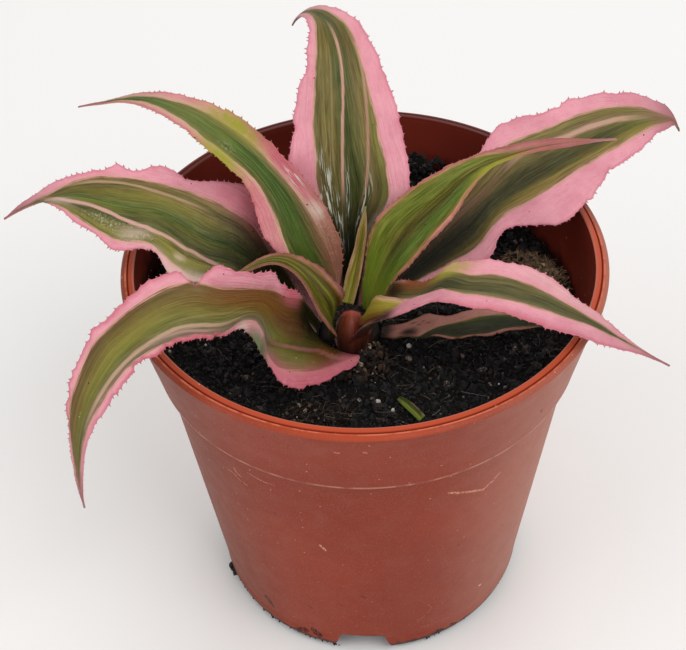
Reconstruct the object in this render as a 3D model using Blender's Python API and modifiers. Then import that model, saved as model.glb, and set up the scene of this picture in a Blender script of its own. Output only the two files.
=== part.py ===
"""Potted pink earth star: a rosette of stiff, toothed leaves in a terracotta-coloured plastic nursery pot.

Run with: blender --background --python part.py
The scene is in metres with +Z up, and the front of the pot faces -Y. The origin lies under the middle of the
whole plant's box, on the surface that the pot stands on.
"""

import math
from dataclasses import dataclass

import bmesh
import bpy
import numpy as np
from mathutils import Matrix, Vector

MM = 0.001
GAP = 0.3  # mm between neighbouring solids
BOX_CENTRE = (-2.7, 0.0)  # mm from the pot's axis to the middle of the whole plant's box

# Pot, in mm
RIM_RADIUS = 60.0
POT_HEIGHT = 109.5
LIP_WIDTH = 3.4
LIP_HEIGHT = 2.4
COLLAR_TOP_RADIUS = 58.4
COLLAR_FOOT_RADIUS = 54.3
COLLAR_FOOT_HEIGHT = 84.7
WALL_TOP_RADIUS = 52.2
WALL_TOP_HEIGHT = 83.0
BASE_RADIUS = 42.3
BASE_ROUNDING = 1.5
WALL = 1.4
FOOT_WIDTH = 2.2
FOOT_HEIGHT = 4.6
FLOOR = 1.6
POT_STEPS = 72
NOTCH_WIDTH = 12.0
NOTCH_HEIGHT = 4.0
NOTCH_COUNT = 4
NOTCH_CORNER = 1.6
NOTCH_TURN = -4.0  # degrees from the front to the nearest notch
DRAIN_RADIUS = 4.5
DRAIN_CIRCLE = 27.0
CUTTER_DEPTH = 12.0
POT_COLOUR = (0.28, 0.075, 0.045)
POT_ROUGHNESS = 0.42

# Potting mix, in mm
SOIL_LEVEL = 88.6
SOIL_RISE = 1.5  # how far the mix climbs where it meets the wall
SOIL_RELIEF = 0.9
SOIL_RINGS = 13
SOIL_CLEAR = 14.0  # radius round the crown in which the mix stays level
SOIL_BLEND = 10.0  # width over which its crumbs grow to full height
SOIL_COLOUR = (0.020, 0.014, 0.010)
SOIL_ROUGHNESS = 0.95
SMOOTH_BELOW = 40.0  # degrees between faces under which the mix is shaded smooth

# Crown, in mm: the short stem that every leaf grows from
CROWN_X = -4.0
CROWN_Y = -6.0
CROWN_SINK = 5.0  # depth of its socket in the mix
CROWN_PROFILE = ((0.0, 96.8), (1.6, 96.3), (3.4, 95.0), (4.7, 93.4), (6.0, 92.0), (7.2, 90.4), (7.6, 88.8))
CROWN_STEPS = 28
SOCKET_STEPS = 32
CROWN_COLOUR = (0.16, 0.09, 0.05)
CROWN_ROUGHNESS = 0.8
LEAF_STANDOFF = 1.2  # from the crown's skin to a leaf's midrib

# Leaf blades, in mm
BLADE = 0.9
TOOTH_LENGTH = 0.9
TOOTH_HALF_BASE = 0.8
TOOTH_LEAN = 0.5
FIRST_TOOTH = 0.12
LAST_TOOTH = 0.97
BASE_ROWS = 3  # rows below the first tooth
COLUMNS = (-1.0, -0.72, -0.36, 0.0, 0.36, 0.72, 1.0)
TIP_HALF_WIDTH = 0.3
RUFFLE_WAVES = 5.0
RUFFLE_SHIFT = 0.37  # share of a wave by which the right margin lags the left one
FULL_RUFFLE_WIDTH = 8.0
FULL_TOOTH_WIDTH = 3.0
MIDRIB_STEPS = 120
LEAF_ROUGHNESS = 0.45
PLAIN_ROWS = 10  # rows of a blade with no teeth


@dataclass(frozen=True)
class Leaf:
    """One leaf. Lengths are in mm and angles in degrees, at even stations from the base to the tip.

    turn is the midrib's heading, with 0 along +X and 90 along +Y, climb its slope, and roll how far the blade
    leans over to its right. left and right are the half widths, seen from the base, and cup is how far each half
    folds up. ruffle is the height of the waves along the margins.
    """

    name: str
    root: tuple
    length: float
    turn: tuple
    climb: tuple
    roll: tuple
    left: tuple
    right: tuple
    cup: tuple
    teeth: int
    ruffle: float
    colour: tuple


def crown_radius(height):
    """Radius of the crown at a height, in mm."""
    radii, heights = zip(*CROWN_PROFILE)
    return float(np.interp(-height, [-z for z in heights], radii))


def on_crown(azimuth, height):
    """Point just off the crown's skin from which a leaf grows."""
    reach = crown_radius(height) + LEAF_STANDOFF
    angle = math.radians(azimuth)
    return (CROWN_X + reach * math.cos(angle), CROWN_Y + reach * math.sin(angle), height)


LEAVES = (
    Leaf(
        name="leaf_back",
        root=on_crown(90, 91.0),
        length=88.5,
        turn=(87, 89, 99, 148),
        climb=(70, 69, 65, 54, 21, -66),
        roll=(0, 0, 0, 0),
        left=(3, 4.5, 10.5, 14.5, 14, 11.5, 7.5, 3, 0),
        right=(3, 4.5, 7.5, 15.5, 14.5, 11, 8, 5, 0),
        cup=(15, 25, 10, 8),
        teeth=12,
        ruffle=0.6,
        colour=(0.19, 0.20, 0.08),
    ),
    Leaf(
        name="leaf_upper_left",
        root=on_crown(148, 93.5),
        length=98,
        turn=(148, 139, 151, 165),
        climb=(82, 65, 41, 15, -8, -25),
        roll=(-10, -25, -7, -4),
        left=(2, 4, 11, 7, 7.5, 4, 1, 0),
        right=(2, 6.5, 8, 6, 5, 4, 2, 0),
        cup=(12, 32, 14, 5),
        teeth=12,
        ruffle=0.4,
        colour=(0.16, 0.19, 0.09),
    ),
    Leaf(
        name="leaf_left",
        root=on_crown(176, 90.5),
        length=92.5,
        turn=(165, 164, 175, 187),
        climb=(56, 52, 33, 13, -7, -33),
        roll=(-7, -28, -34, -18),
        left=(3, 4, 8.5, 13.5, 17, 12.5, 13.5, 7, 1, 0),
        right=(3, 4.5, 9, 13, 11, 8, 6.5, 5, 2.5, 0),
        cup=(15, 18, 8, 5),
        teeth=12,
        ruffle=0.8,
        colour=(0.20, 0.20, 0.09),
    ),
    Leaf(
        name="leaf_front_left",
        root=on_crown(222, 90.0),
        length=118,
        turn=(253, 206, 221, 232),
        climb=(55, 53, 23, -28, -68, -91),
        roll=(-23, -66, -18, 0),
        left=(2.5, 13, 15, 3, 7, 7, 6, 4.5, 2, 1, 0),
        right=(2.5, 4.5, 7, 8, 7.5, 8.5, 7, 7, 5, 2, 0),
        cup=(10, 5, 5, 5),
        teeth=14,
        ruffle=0.6,
        colour=(0.26, 0.21, 0.09),
    ),
    Leaf(
        name="leaf_young_curled",
        root=on_crown(232, 92.3),
        length=42,
        turn=(228, 160, 189, 207),
        climb=(85, 67, 20, -37),
        roll=(-14, -16, -4, -2),
        left=(2, 4.5, 5.5, 5, 2.5, 1.2, 1, 0),
        right=(2, 4.5, 6, 5, 3.5, 2, 1, 0),
        cup=(5, 36, 25, 15),
        teeth=7,
        ruffle=0.0,
        colour=(0.30, 0.22, 0.08),
    ),
    Leaf(
        name="leaf_right_back",
        root=on_crown(45, 90.5),
        length=95,
        turn=(33, 25, 21, 14),
        climb=(33, 31, 24, 18, 14, -7),
        roll=(10, 27, 21, 33),
        left=(3, 4, 7, 9.5, 11.5, 17, 14.5, 13.5, 9.5, 0),
        right=(3, 4, 8.5, 11, 7, 14.5, 11, 7.5, 4, 0),
        cup=(15, 15, 5, 0),
        teeth=12,
        ruffle=0.9,
        colour=(0.13, 0.15, 0.07),
    ),
    Leaf(
        name="leaf_right_inner",
        root=on_crown(18, 94.6),
        length=84,
        turn=(26, 26, 18, 10),
        climb=(76, 60, 36, 14, -2, -6),
        roll=(14, 27, 16, 3),
        left=(2, 4.5, 7.5, 5.5, 3.5, 2, 0.7, 0),
        right=(2, 5, 9, 9.5, 3, 0.9, 0.9, 0),
        cup=(6, 36, 25, 15),
        teeth=12,
        ruffle=0.3,
        colour=(0.15, 0.21, 0.06),
    ),
    Leaf(
        name="leaf_right_front",
        root=on_crown(290, 91.0),
        length=92.5,
        turn=(-63, -8, -21, -18),
        climb=(79, 49, 20, -10, -22, -23),
        roll=(6, 5, 5, 2),
        left=(3.5, 4.5, 5.5, 3, 5.5, 7, 5.5, 3.5, 1, 0),
        right=(4, 5, 5.5, 6.5, 8, 9.5, 7.5, 5.5, 3, 0),
        cup=(6, 25, 8, 2),
        teeth=12,
        ruffle=0.6,
        colour=(0.15, 0.18, 0.08),
    ),
    Leaf(
        name="leaf_low_right",
        root=on_crown(343, 90.2),
        length=42,
        turn=(-4, -9, -9, -10),
        climb=(21, 15, 6, 0),
        roll=(-4, -6, -3, -2),
        left=(2, 2, 3.5, 2.5, 4.5, 3.5, 2, 0),
        right=(2, 5, 6.5, 7.5, 7, 4.5, 2, 0),
        cup=(20, 15, 10, 5),
        teeth=7,
        ruffle=0.4,
        colour=(0.15, 0.16, 0.06),
    ),
    Leaf(
        name="leaf_centre",
        root=on_crown(96, 95.9),
        length=26,
        turn=(66, 59, 64, 69),
        climb=(55, 60, 69, 76),
        roll=(9, 15, 13, 7),
        left=(1.5, 2, 2.5, 2.5, 2, 1.8, 1, 0),
        right=(1.5, 2, 2.5, 2.5, 2, 1.8, 1, 0),
        cup=(20, 50, 50, 45),
        teeth=5,
        ruffle=0.0,
        colour=(0.36, 0.36, 0.14),
    ),
    Leaf(
        name="soil_sprout",
        root=(7.7, -32.6, 89.6),
        length=9,
        turn=(-44, -48, -52, -55),
        climb=(8, 20, 12, 4),
        roll=(0, 10, 10, 0),
        left=(0.5, 0.9, 1.1, 0.9, 0.4, 0),
        right=(0.5, 0.9, 1.1, 0.9, 0.4, 0),
        cup=(15, 15, 10, 5),
        teeth=0,
        ruffle=0.0,
        colour=(0.16, 0.30, 0.06),
    ),
)


def smooth(stations, along):
    """Catmull-Rom curve through values at even stations, read at a fraction of the way along."""
    values = list(stations)
    values = [2 * values[0] - values[1]] + values + [2 * values[-1] - values[-2]]
    place = min(max(along, 0.0), 1.0) * (len(stations) - 1)
    index = min(int(place), len(stations) - 2)
    part = place - index
    before, start, end, after = values[index : index + 4]
    slope = 0.5 * (end - before)
    curve = before - 2.5 * start + 2 * end - 0.5 * after
    twist = 0.5 * (after - before) + 1.5 * (start - end)
    return start + part * (slope + part * (curve + part * twist))


def heading(leaf, along):
    """Unit direction of the midrib."""
    turn = math.radians(smooth(leaf.turn, along))
    climb = math.radians(smooth(leaf.climb, along))
    return Vector((math.cos(climb) * math.cos(turn), math.cos(climb) * math.sin(turn), math.sin(climb)))


def midrib_points(leaf):
    """Points along the midrib at even steps, by adding up its headings."""
    points = [Vector(leaf.root)]
    stride = leaf.length / MIDRIB_STEPS
    for step in range(MIDRIB_STEPS):
        points.append(points[-1] + heading(leaf, (step + 0.5) / MIDRIB_STEPS) * stride)
    return points


def midrib_point(points, along):
    """Point at a fraction of the way along the midrib."""
    place = min(max(along, 0.0), 1.0) * (len(points) - 1)
    index = min(int(place), len(points) - 2)
    return points[index].lerp(points[index + 1], place - index)


def blade_point(leaf, points, along, across, tooth):
    """Point on the middle of the blade, with across from -1 at the right margin to 1 at the left one."""
    side = 1.0 if across >= 0 else -1.0
    width = max(smooth(leaf.left if side > 0 else leaf.right, along), TIP_HALF_WIDTH)
    forward = heading(leaf, along)
    turn = math.radians(smooth(leaf.turn, along))
    level = Vector((-math.sin(turn), math.cos(turn), 0.0))
    lean = Matrix.Rotation(math.radians(smooth(leaf.roll, along)), 3, forward)
    out = lean @ level
    up = forward.cross(out)
    fold = math.radians(smooth(leaf.cup, along))
    reach = abs(across) * width + tooth * TOOTH_LENGTH * min(1.0, width / FULL_TOOTH_WIDTH)
    wave = leaf.ruffle * abs(across) ** 3 * min(1.0, width / FULL_RUFFLE_WIDTH)
    wave *= math.sin(2 * math.pi * (RUFFLE_WAVES * along + (0.0 if side > 0 else RUFFLE_SHIFT)))
    point = midrib_point(points, along) + forward * tooth * TOOTH_LEAN
    return point + out * side * reach * math.cos(fold) + up * (reach * math.sin(fold) + wave)


def blade_rows(leaf):
    """Fractions along the midrib at which the blade has a row of points, each with its tooth height."""
    if leaf.teeth == 0:
        return [(row / (PLAIN_ROWS - 1), 0.0) for row in range(PLAIN_ROWS)]
    rows = [(FIRST_TOOTH * step / BASE_ROWS, 0.0) for step in range(BASE_ROWS)]
    half = TOOTH_HALF_BASE / leaf.length
    pitch = (LAST_TOOTH - FIRST_TOOTH) / leaf.teeth
    for tooth in range(leaf.teeth):
        middle = FIRST_TOOTH + (tooth + 0.5) * pitch
        rows += [(middle - half, 0.0), (middle, 1.0), (middle + half, 0.0)]
    return rows + [(1.0, 0.0)]


def make_material(name, colour, roughness):
    """Principled material with one colour."""
    material = bpy.data.materials.new(name + "_finish")
    material.use_nodes = True
    shader = material.node_tree.nodes["Principled BSDF"]
    shader.inputs["Base Color"].default_value = (*colour, 1.0)
    shader.inputs["Roughness"].default_value = roughness
    shader.inputs["Metallic"].default_value = 0.0
    material.diffuse_color = (*colour, 1.0)
    return material


def make_object(name, mesh, collection, parent):
    """Object in a collection, under a parent."""
    made = bpy.data.objects.new(name, mesh)
    collection.objects.link(made)
    made.parent = parent
    return made


def make_leaf(leaf, collection, parent):
    """Toothed blade: a grid bent along the midrib, with a tip drawn to a point, thickened by Solidify."""
    rows = blade_rows(leaf)
    points = midrib_points(leaf)
    mesh = bpy.data.meshes.new(leaf.name)
    grid = bmesh.new()
    bmesh.ops.create_grid(grid, x_segments=len(COLUMNS) - 1, y_segments=len(rows) - 1, size=0.5)
    bmesh.ops.triangulate(grid, faces=grid.faces)
    tip = []
    for vertex in grid.verts:
        column = round((vertex.co.x + 0.5) * (len(COLUMNS) - 1))
        row = round((vertex.co.y + 0.5) * (len(rows) - 1))
        along, tooth = rows[row]
        across = COLUMNS[column]
        vertex.co = blade_point(leaf, points, along, across, tooth if abs(across) == 1.0 else 0.0) * MM
        if row == len(rows) - 1:
            tip.append(vertex)
    bmesh.ops.pointmerge(grid, verts=tip, merge_co=points[-1] * MM)
    bmesh.ops.recalc_face_normals(grid, faces=grid.faces)
    grid.to_mesh(mesh)
    grid.free()
    mesh.shade_smooth()
    mesh.materials.append(make_material(leaf.name, leaf.colour, LEAF_ROUGHNESS))
    made = make_object(leaf.name, mesh, collection, parent)
    thick = made.modifiers.new("blade_thickness", "SOLIDIFY")
    thick.thickness = BLADE * MM
    thick.offset = 0.0
    thick.use_even_offset = False
    return made


def turned(name, profile, steps, collection, parent):
    """Solid turned from a profile of (radius, height) points in mm, given from the top down its outer side."""
    outline = bmesh.new()
    corners = [outline.verts.new((radius * MM, 0.0, height * MM)) for radius, height in profile]
    for first, second in zip(corners, corners[1:]):
        outline.edges.new((first, second))
    mesh = bpy.data.meshes.new(name)
    outline.to_mesh(mesh)
    outline.free()
    made = make_object(name, mesh, collection, parent)
    screw = made.modifiers.new("turn", "SCREW")
    screw.steps = steps
    screw.render_steps = steps
    screw.use_merge_vertices = True
    screw.merge_threshold = 0.00001
    screw.use_smooth_shade = True
    return made


def pot_profile():
    """Radius and height of the pot's section, up the inside, over the lip and down the outside, in mm."""
    lip_inside = RIM_RADIUS - LIP_WIDTH
    floor_top = FOOT_HEIGHT + FLOOR
    inside = [
        (0.0, floor_top),
        (BASE_RADIUS - WALL - 0.4, floor_top),
        (BASE_RADIUS - WALL + 0.6, floor_top + 1.4),
        (WALL_TOP_RADIUS - WALL, WALL_TOP_HEIGHT),
        (COLLAR_FOOT_RADIUS - WALL, COLLAR_FOOT_HEIGHT + 0.9),
        (lip_inside, POT_HEIGHT - 0.5),
    ]
    lip = [
        (lip_inside + 0.4, POT_HEIGHT),
        (lip_inside + 1.0, POT_HEIGHT - 0.1),
        (lip_inside + 1.7, POT_HEIGHT - 0.7),
        (RIM_RADIUS - 0.7, POT_HEIGHT - 0.5),
        (RIM_RADIUS, POT_HEIGHT - 1.1),
        (RIM_RADIUS, POT_HEIGHT - LIP_HEIGHT + 0.4),
        (RIM_RADIUS - 0.5, POT_HEIGHT - LIP_HEIGHT),
        (COLLAR_TOP_RADIUS, POT_HEIGHT - LIP_HEIGHT - 0.3),
    ]
    outside = [
        (COLLAR_FOOT_RADIUS + 0.15, COLLAR_FOOT_HEIGHT + 0.6),
        (COLLAR_FOOT_RADIUS - 0.25, COLLAR_FOOT_HEIGHT - 0.2),
        (WALL_TOP_RADIUS + 0.2, WALL_TOP_HEIGHT + 0.2),
        (WALL_TOP_RADIUS - 0.1, WALL_TOP_HEIGHT - 0.8),
        (BASE_RADIUS + 0.35, BASE_ROUNDING + 1.0),
        (BASE_RADIUS - 0.05, 0.6 * BASE_ROUNDING),
        (BASE_RADIUS - 0.5, 0.2 * BASE_ROUNDING),
        (BASE_RADIUS - 1.1, 0.0),
    ]
    foot = [
        (BASE_RADIUS - 1.1 - FOOT_WIDTH, 0.0),
        (BASE_RADIUS - 1.4 - FOOT_WIDTH, 0.3),
        (BASE_RADIUS - 1.4 - FOOT_WIDTH, FOOT_HEIGHT),
        (0.0, FOOT_HEIGHT),
    ]
    return inside + lip + outside + foot


def make_cutter(name, cutters, parent, mesh_maker):
    """Hidden object for a Boolean."""
    shape = bmesh.new()
    mesh_maker(shape)
    mesh = bpy.data.meshes.new(name)
    shape.to_mesh(mesh)
    shape.free()
    cutter = make_object(name, mesh, cutters, parent)
    cutter.hide_render = True
    cutter.display_type = "WIRE"
    return cutter


def cut(target, cutter):
    """Boolean difference."""
    step = target.modifiers.new(cutter.name, "BOOLEAN")
    step.operation = "DIFFERENCE"
    step.solver = "EXACT"
    step.object = cutter


def notch_box(shape):
    """Block that cuts one notch through the foot ring, with rounded upper corners."""
    bmesh.ops.create_cube(shape, size=1.0)
    upright = [edge for edge in shape.edges if abs(edge.verts[0].co.y - edge.verts[1].co.y) > 0.5]
    bmesh.ops.scale(shape, verts=shape.verts, vec=(NOTCH_WIDTH * MM, CUTTER_DEPTH * MM, 2 * NOTCH_HEIGHT * MM))
    upper = [edge for edge in upright if edge.verts[0].co.z > 0]
    bmesh.ops.bevel(shape, geom=upper, offset=NOTCH_CORNER * MM, segments=3, profile=0.5, affect="EDGES")


def drain_pin(shape):
    """Round pin that cuts one drain hole through the floor."""
    bmesh.ops.create_cone(
        shape,
        cap_ends=True,
        segments=20,
        radius1=DRAIN_RADIUS * MM,
        radius2=DRAIN_RADIUS * MM,
        depth=CUTTER_DEPTH * MM,
    )


def make_pot(collection, cutters, parent):
    """Moulded nursery pot with a lipped collar, a notched foot ring and drain holes."""
    pot = turned("nursery_pot", pot_profile(), POT_STEPS, collection, parent)
    pot.data.materials.append(make_material("nursery_pot", POT_COLOUR, POT_ROUGHNESS))
    for index in range(NOTCH_COUNT):
        angle = math.radians(NOTCH_TURN) + 2 * math.pi * index / NOTCH_COUNT
        notch = make_cutter(f"notch_cutter_{index}", cutters, parent, notch_box)
        notch.rotation_euler.z = angle
        notch.location = Vector((math.sin(angle), -math.cos(angle), 0.0)) * (BASE_RADIUS - 2.0) * MM
        cut(pot, notch)
        drain = make_cutter(f"drain_cutter_{index}", cutters, parent, drain_pin)
        around = angle + math.pi / NOTCH_COUNT
        drain.location = Vector((math.cos(around), math.sin(around), 0.0)) * DRAIN_CIRCLE * MM
        drain.location.z = FOOT_HEIGHT * MM
        cut(pot, drain)
    centre = make_cutter("drain_cutter_centre", cutters, parent, drain_pin)
    centre.location.z = FOOT_HEIGHT * MM
    cut(pot, centre)
    return pot


def wall_inside_radius(height):
    """Inner radius of the pot's wall at a height, in mm."""
    foot = (FOOT_HEIGHT + FLOOR + 1.4, BASE_RADIUS - WALL + 0.6)
    shoulder = (WALL_TOP_HEIGHT, WALL_TOP_RADIUS - WALL)
    collar = (COLLAR_FOOT_HEIGHT + 0.9, COLLAR_FOOT_RADIUS - WALL)
    rim = (POT_HEIGHT - 0.5, RIM_RADIUS - LIP_WIDTH)
    heights, radii = zip(foot, shoulder, collar, rim)
    return float(np.interp(height, heights, radii))


def soil_height(x, y):
    """Height of the mix's crumbly top at a place, in mm."""
    from_axis = math.hypot(x, y) / wall_inside_radius(SOIL_LEVEL)
    from_crown = math.hypot(x - CROWN_X, y - CROWN_Y)
    crumbs = math.sin(0.83 * x + 1.7 * math.sin(0.41 * y)) * math.sin(0.77 * y + 1.3 * math.sin(0.53 * x))
    crumbs += 0.6 * math.sin(1.9 * x + 0.6 * y) * math.sin(1.7 * y - 0.8 * x)
    quiet = min(1.0, max(0.0, (from_crown - SOIL_CLEAR) / SOIL_BLEND))
    return SOIL_LEVEL + SOIL_RISE * from_axis**4 + SOIL_RELIEF * quiet * crumbs


def make_soil(collection, cutters, parent):
    """Potting mix that fills the pot, with a crumbly top and a plain socket for the crown."""
    top_radius = wall_inside_radius(SOIL_LEVEL + SOIL_RISE) - GAP - 0.1
    shoulder = (wall_inside_radius(COLLAR_FOOT_HEIGHT + 0.9) - GAP - 0.1, COLLAR_FOOT_HEIGHT + 1.15)
    under = (wall_inside_radius(WALL_TOP_HEIGHT) - GAP - 0.1, WALL_TOP_HEIGHT + 0.25)
    floor_top = FOOT_HEIGHT + FLOOR
    rings = [(top_radius * ring / SOIL_RINGS, SOIL_LEVEL) for ring in range(SOIL_RINGS + 1)]
    foot = [
        (wall_inside_radius(0) - GAP - 0.1, floor_top + 1.7),
        (BASE_RADIUS - WALL - 1.4, floor_top + GAP),
        (0.0, floor_top + GAP),
    ]
    soil = turned("potting_mix", rings + [shoulder, under] + foot, POT_STEPS, collection, parent)
    graph = bpy.context.evaluated_depsgraph_get()
    plain = bpy.data.meshes.new_from_object(soil.evaluated_get(graph))
    soil.modifiers.clear()
    soil.data = plain
    soil.name = "potting_mix"
    for vertex in plain.vertices:
        if abs(vertex.co.z - SOIL_LEVEL * MM) < 0.01 * MM:
            vertex.co.z = soil_height(vertex.co.x / MM, vertex.co.y / MM) * MM
    triangles = bmesh.new()
    triangles.from_mesh(plain)
    bmesh.ops.triangulate(triangles, faces=triangles.faces)
    triangles.to_mesh(plain)
    triangles.free()
    plain.shade_smooth()
    plain.set_sharp_from_angle(angle=math.radians(SMOOTH_BELOW))
    plain.materials.append(make_material("potting_mix", SOIL_COLOUR, SOIL_ROUGHNESS))

    def socket(shape):
        radius = (max(radius for radius, _ in CROWN_PROFILE) + GAP) * MM
        bmesh.ops.create_cone(
            shape,
            cap_ends=True,
            segments=SOCKET_STEPS,
            radius1=radius,
            radius2=radius,
            depth=2 * CUTTER_DEPTH * MM,
        )

    hole = make_cutter("crown_socket_cutter", cutters, parent, socket)
    socket_floor = SOIL_LEVEL - CROWN_SINK - GAP
    hole.location = Vector((CROWN_X, CROWN_Y, socket_floor + CUTTER_DEPTH)) * MM
    cut(soil, hole)
    return soil


def make_crown(collection, parent):
    """Short stem: a blunt cone that stands in its socket in the mix."""
    widest = max(radius for radius, _ in CROWN_PROFILE)
    socket_floor = SOIL_LEVEL - CROWN_SINK
    foot = [(widest, socket_floor + 0.4), (widest - 0.4, socket_floor), (0.0, socket_floor)]
    profile = list(CROWN_PROFILE) + foot
    crown = turned("crown", profile, CROWN_STEPS, collection, parent)
    crown.data.materials.append(make_material("crown", CROWN_COLOUR, CROWN_ROUGHNESS))
    crown.location = Vector((CROWN_X, CROWN_Y, 0.0)) * MM
    return crown


def main():
    """Clear the scene and build the plant, its mix and its pot."""
    for old in list(bpy.data.objects):
        bpy.data.objects.remove(old, do_unlink=True)
    parts = bpy.data.collections.new("potted_pink_earth_star")
    cutters = bpy.data.collections.new("cutters")
    bpy.context.scene.collection.children.link(parts)
    bpy.context.scene.collection.children.link(cutters)
    axis = bpy.data.objects.new("pot_axis", None)
    axis.location = Vector((-BOX_CENTRE[0], -BOX_CENTRE[1], 0.0)) * MM
    parts.objects.link(axis)
    make_pot(parts, cutters, axis)
    make_soil(parts, cutters, axis)
    make_crown(parts, axis)
    for leaf in LEAVES:
        make_leaf(leaf, parts, axis)


main()
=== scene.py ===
"""Dressed potted pink earth star: toothed and striped leaves, peat with fibres and grit, and a moulded pot.

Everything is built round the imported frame, in its coordinates: metres, with +Z up and the front of the pot
towards -Y. Lengths in the tables below are in millimetres and angles in degrees.
"""

import sys

import logging
import math
from dataclasses import dataclass, field
from enum import Enum
from typing import Any, Optional, Sequence, Union

import bmesh
import bpy
import numpy as np
from bmesh.types import BMesh, BMVert
from bpy.types import Material, Mesh, Node, NodeSocket, NodeTree, Object
from mathutils import Matrix, Quaternion, Vector


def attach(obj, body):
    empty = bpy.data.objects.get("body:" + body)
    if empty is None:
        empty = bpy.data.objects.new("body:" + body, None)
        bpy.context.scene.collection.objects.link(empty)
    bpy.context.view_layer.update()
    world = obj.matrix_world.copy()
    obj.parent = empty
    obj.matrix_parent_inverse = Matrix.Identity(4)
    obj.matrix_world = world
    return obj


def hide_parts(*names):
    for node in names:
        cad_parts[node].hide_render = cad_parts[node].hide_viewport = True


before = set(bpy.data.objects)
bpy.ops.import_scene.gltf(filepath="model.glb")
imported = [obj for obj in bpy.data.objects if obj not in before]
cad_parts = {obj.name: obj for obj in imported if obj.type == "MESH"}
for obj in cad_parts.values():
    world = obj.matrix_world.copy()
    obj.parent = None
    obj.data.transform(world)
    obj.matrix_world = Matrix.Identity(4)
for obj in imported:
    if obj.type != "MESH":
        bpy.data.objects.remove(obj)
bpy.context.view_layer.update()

LOG = logging.getLogger("earth_star")
MM = 0.001
BODY = "root"
POT_AXIS_X = 2.7  # mm from the middle of the plant's box to the pot's axis
POT_SHIFT = Matrix.Translation((POT_AXIS_X * MM, 0.0, 0.0))

Array = np.ndarray
Grids = dict[str, Array]
Pair = tuple[float, float]
Triple = tuple[float, float, float]
Stations = tuple[float, ...]
Colour = tuple[float, float, float, float]


def srgb(code: str) -> Colour:
    """Linear colour of a six-digit hexadecimal screen colour.

    Args:
        code: The six digits.

    Returns:
        Its red, green and blue, with an opacity of 1.
    """
    parts = [int(code[i : i + 2], 16) / 255 for i in (0, 2, 4)]
    linear = [part / 12.92 if part <= 0.04045 else ((part + 0.055) / 1.055) ** 2.4 for part in parts]
    return (linear[0], linear[1], linear[2], 1.0)


def smooth(stations: Stations, along: Array) -> Array:
    """Catmull-Rom curve through values at even stations.

    Args:
        stations: Values at even stations from the base to the tip.
        along: Fractions of the way along, from 0 to 1.

    Returns:
        The curve's value at each fraction.
    """
    values = np.array([2 * stations[0] - stations[1], *stations, 2 * stations[-1] - stations[-2]], float)
    place = np.clip(along, 0.0, 1.0) * (len(stations) - 1)
    index = np.minimum(place.astype(int), len(stations) - 2)
    part = place - index
    before, start, end, after = (values[index + shift] for shift in range(4))
    slope = 0.5 * (end - before)
    curve = before - 2.5 * start + 2 * end - 0.5 * after
    twist = 0.5 * (after - before) + 1.5 * (start - end)
    return start + part * (slope + part * (curve + part * twist))


def new_object(name: str, mesh: Mesh) -> Object:
    """Object at the origin, linked to the scene.

    Args:
        name: The object's name.
        mesh: Its mesh.

    Returns:
        The object.
    """
    made = bpy.data.objects.new(name, mesh)
    bpy.context.scene.collection.objects.link(made)
    return made


def new_mesh(name: str, shape: BMesh) -> Mesh:
    """Mesh made from a working shape, which is freed.

    Args:
        name: The mesh's name.
        shape: The working shape.

    Returns:
        The mesh.
    """
    mesh = bpy.data.meshes.new(name)
    shape.to_mesh(mesh)
    shape.free()
    return mesh


def add_shape(whole: BMesh, part: BMesh) -> None:
    """Copy one working shape into another and free it.

    Args:
        whole: The shape that takes the other in.
        part: The shape to copy and free.
    """
    scratch = new_mesh("scratch", part)
    whole.from_mesh(scratch)
    bpy.data.meshes.remove(scratch)


def dress(mesh: Mesh, material: Material) -> None:
    """Give a mesh its one material."""
    mesh.materials.clear()
    mesh.materials.append(material)


def take_in(piece: Object, slot: str, *nodes: str) -> None:
    """Tie a finished piece to the frame.

    Args:
        piece: The finished object.
        slot: The record's material slot; not used.
        nodes: The CAD nodes that it stands for.
    """
    if nodes:
        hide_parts(*nodes)
    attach(piece, BODY)
    LOG.info("%s: %d triangles", piece.name, sum(len(face.vertices) - 2 for face in piece.data.polygons))


# Node trees


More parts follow.
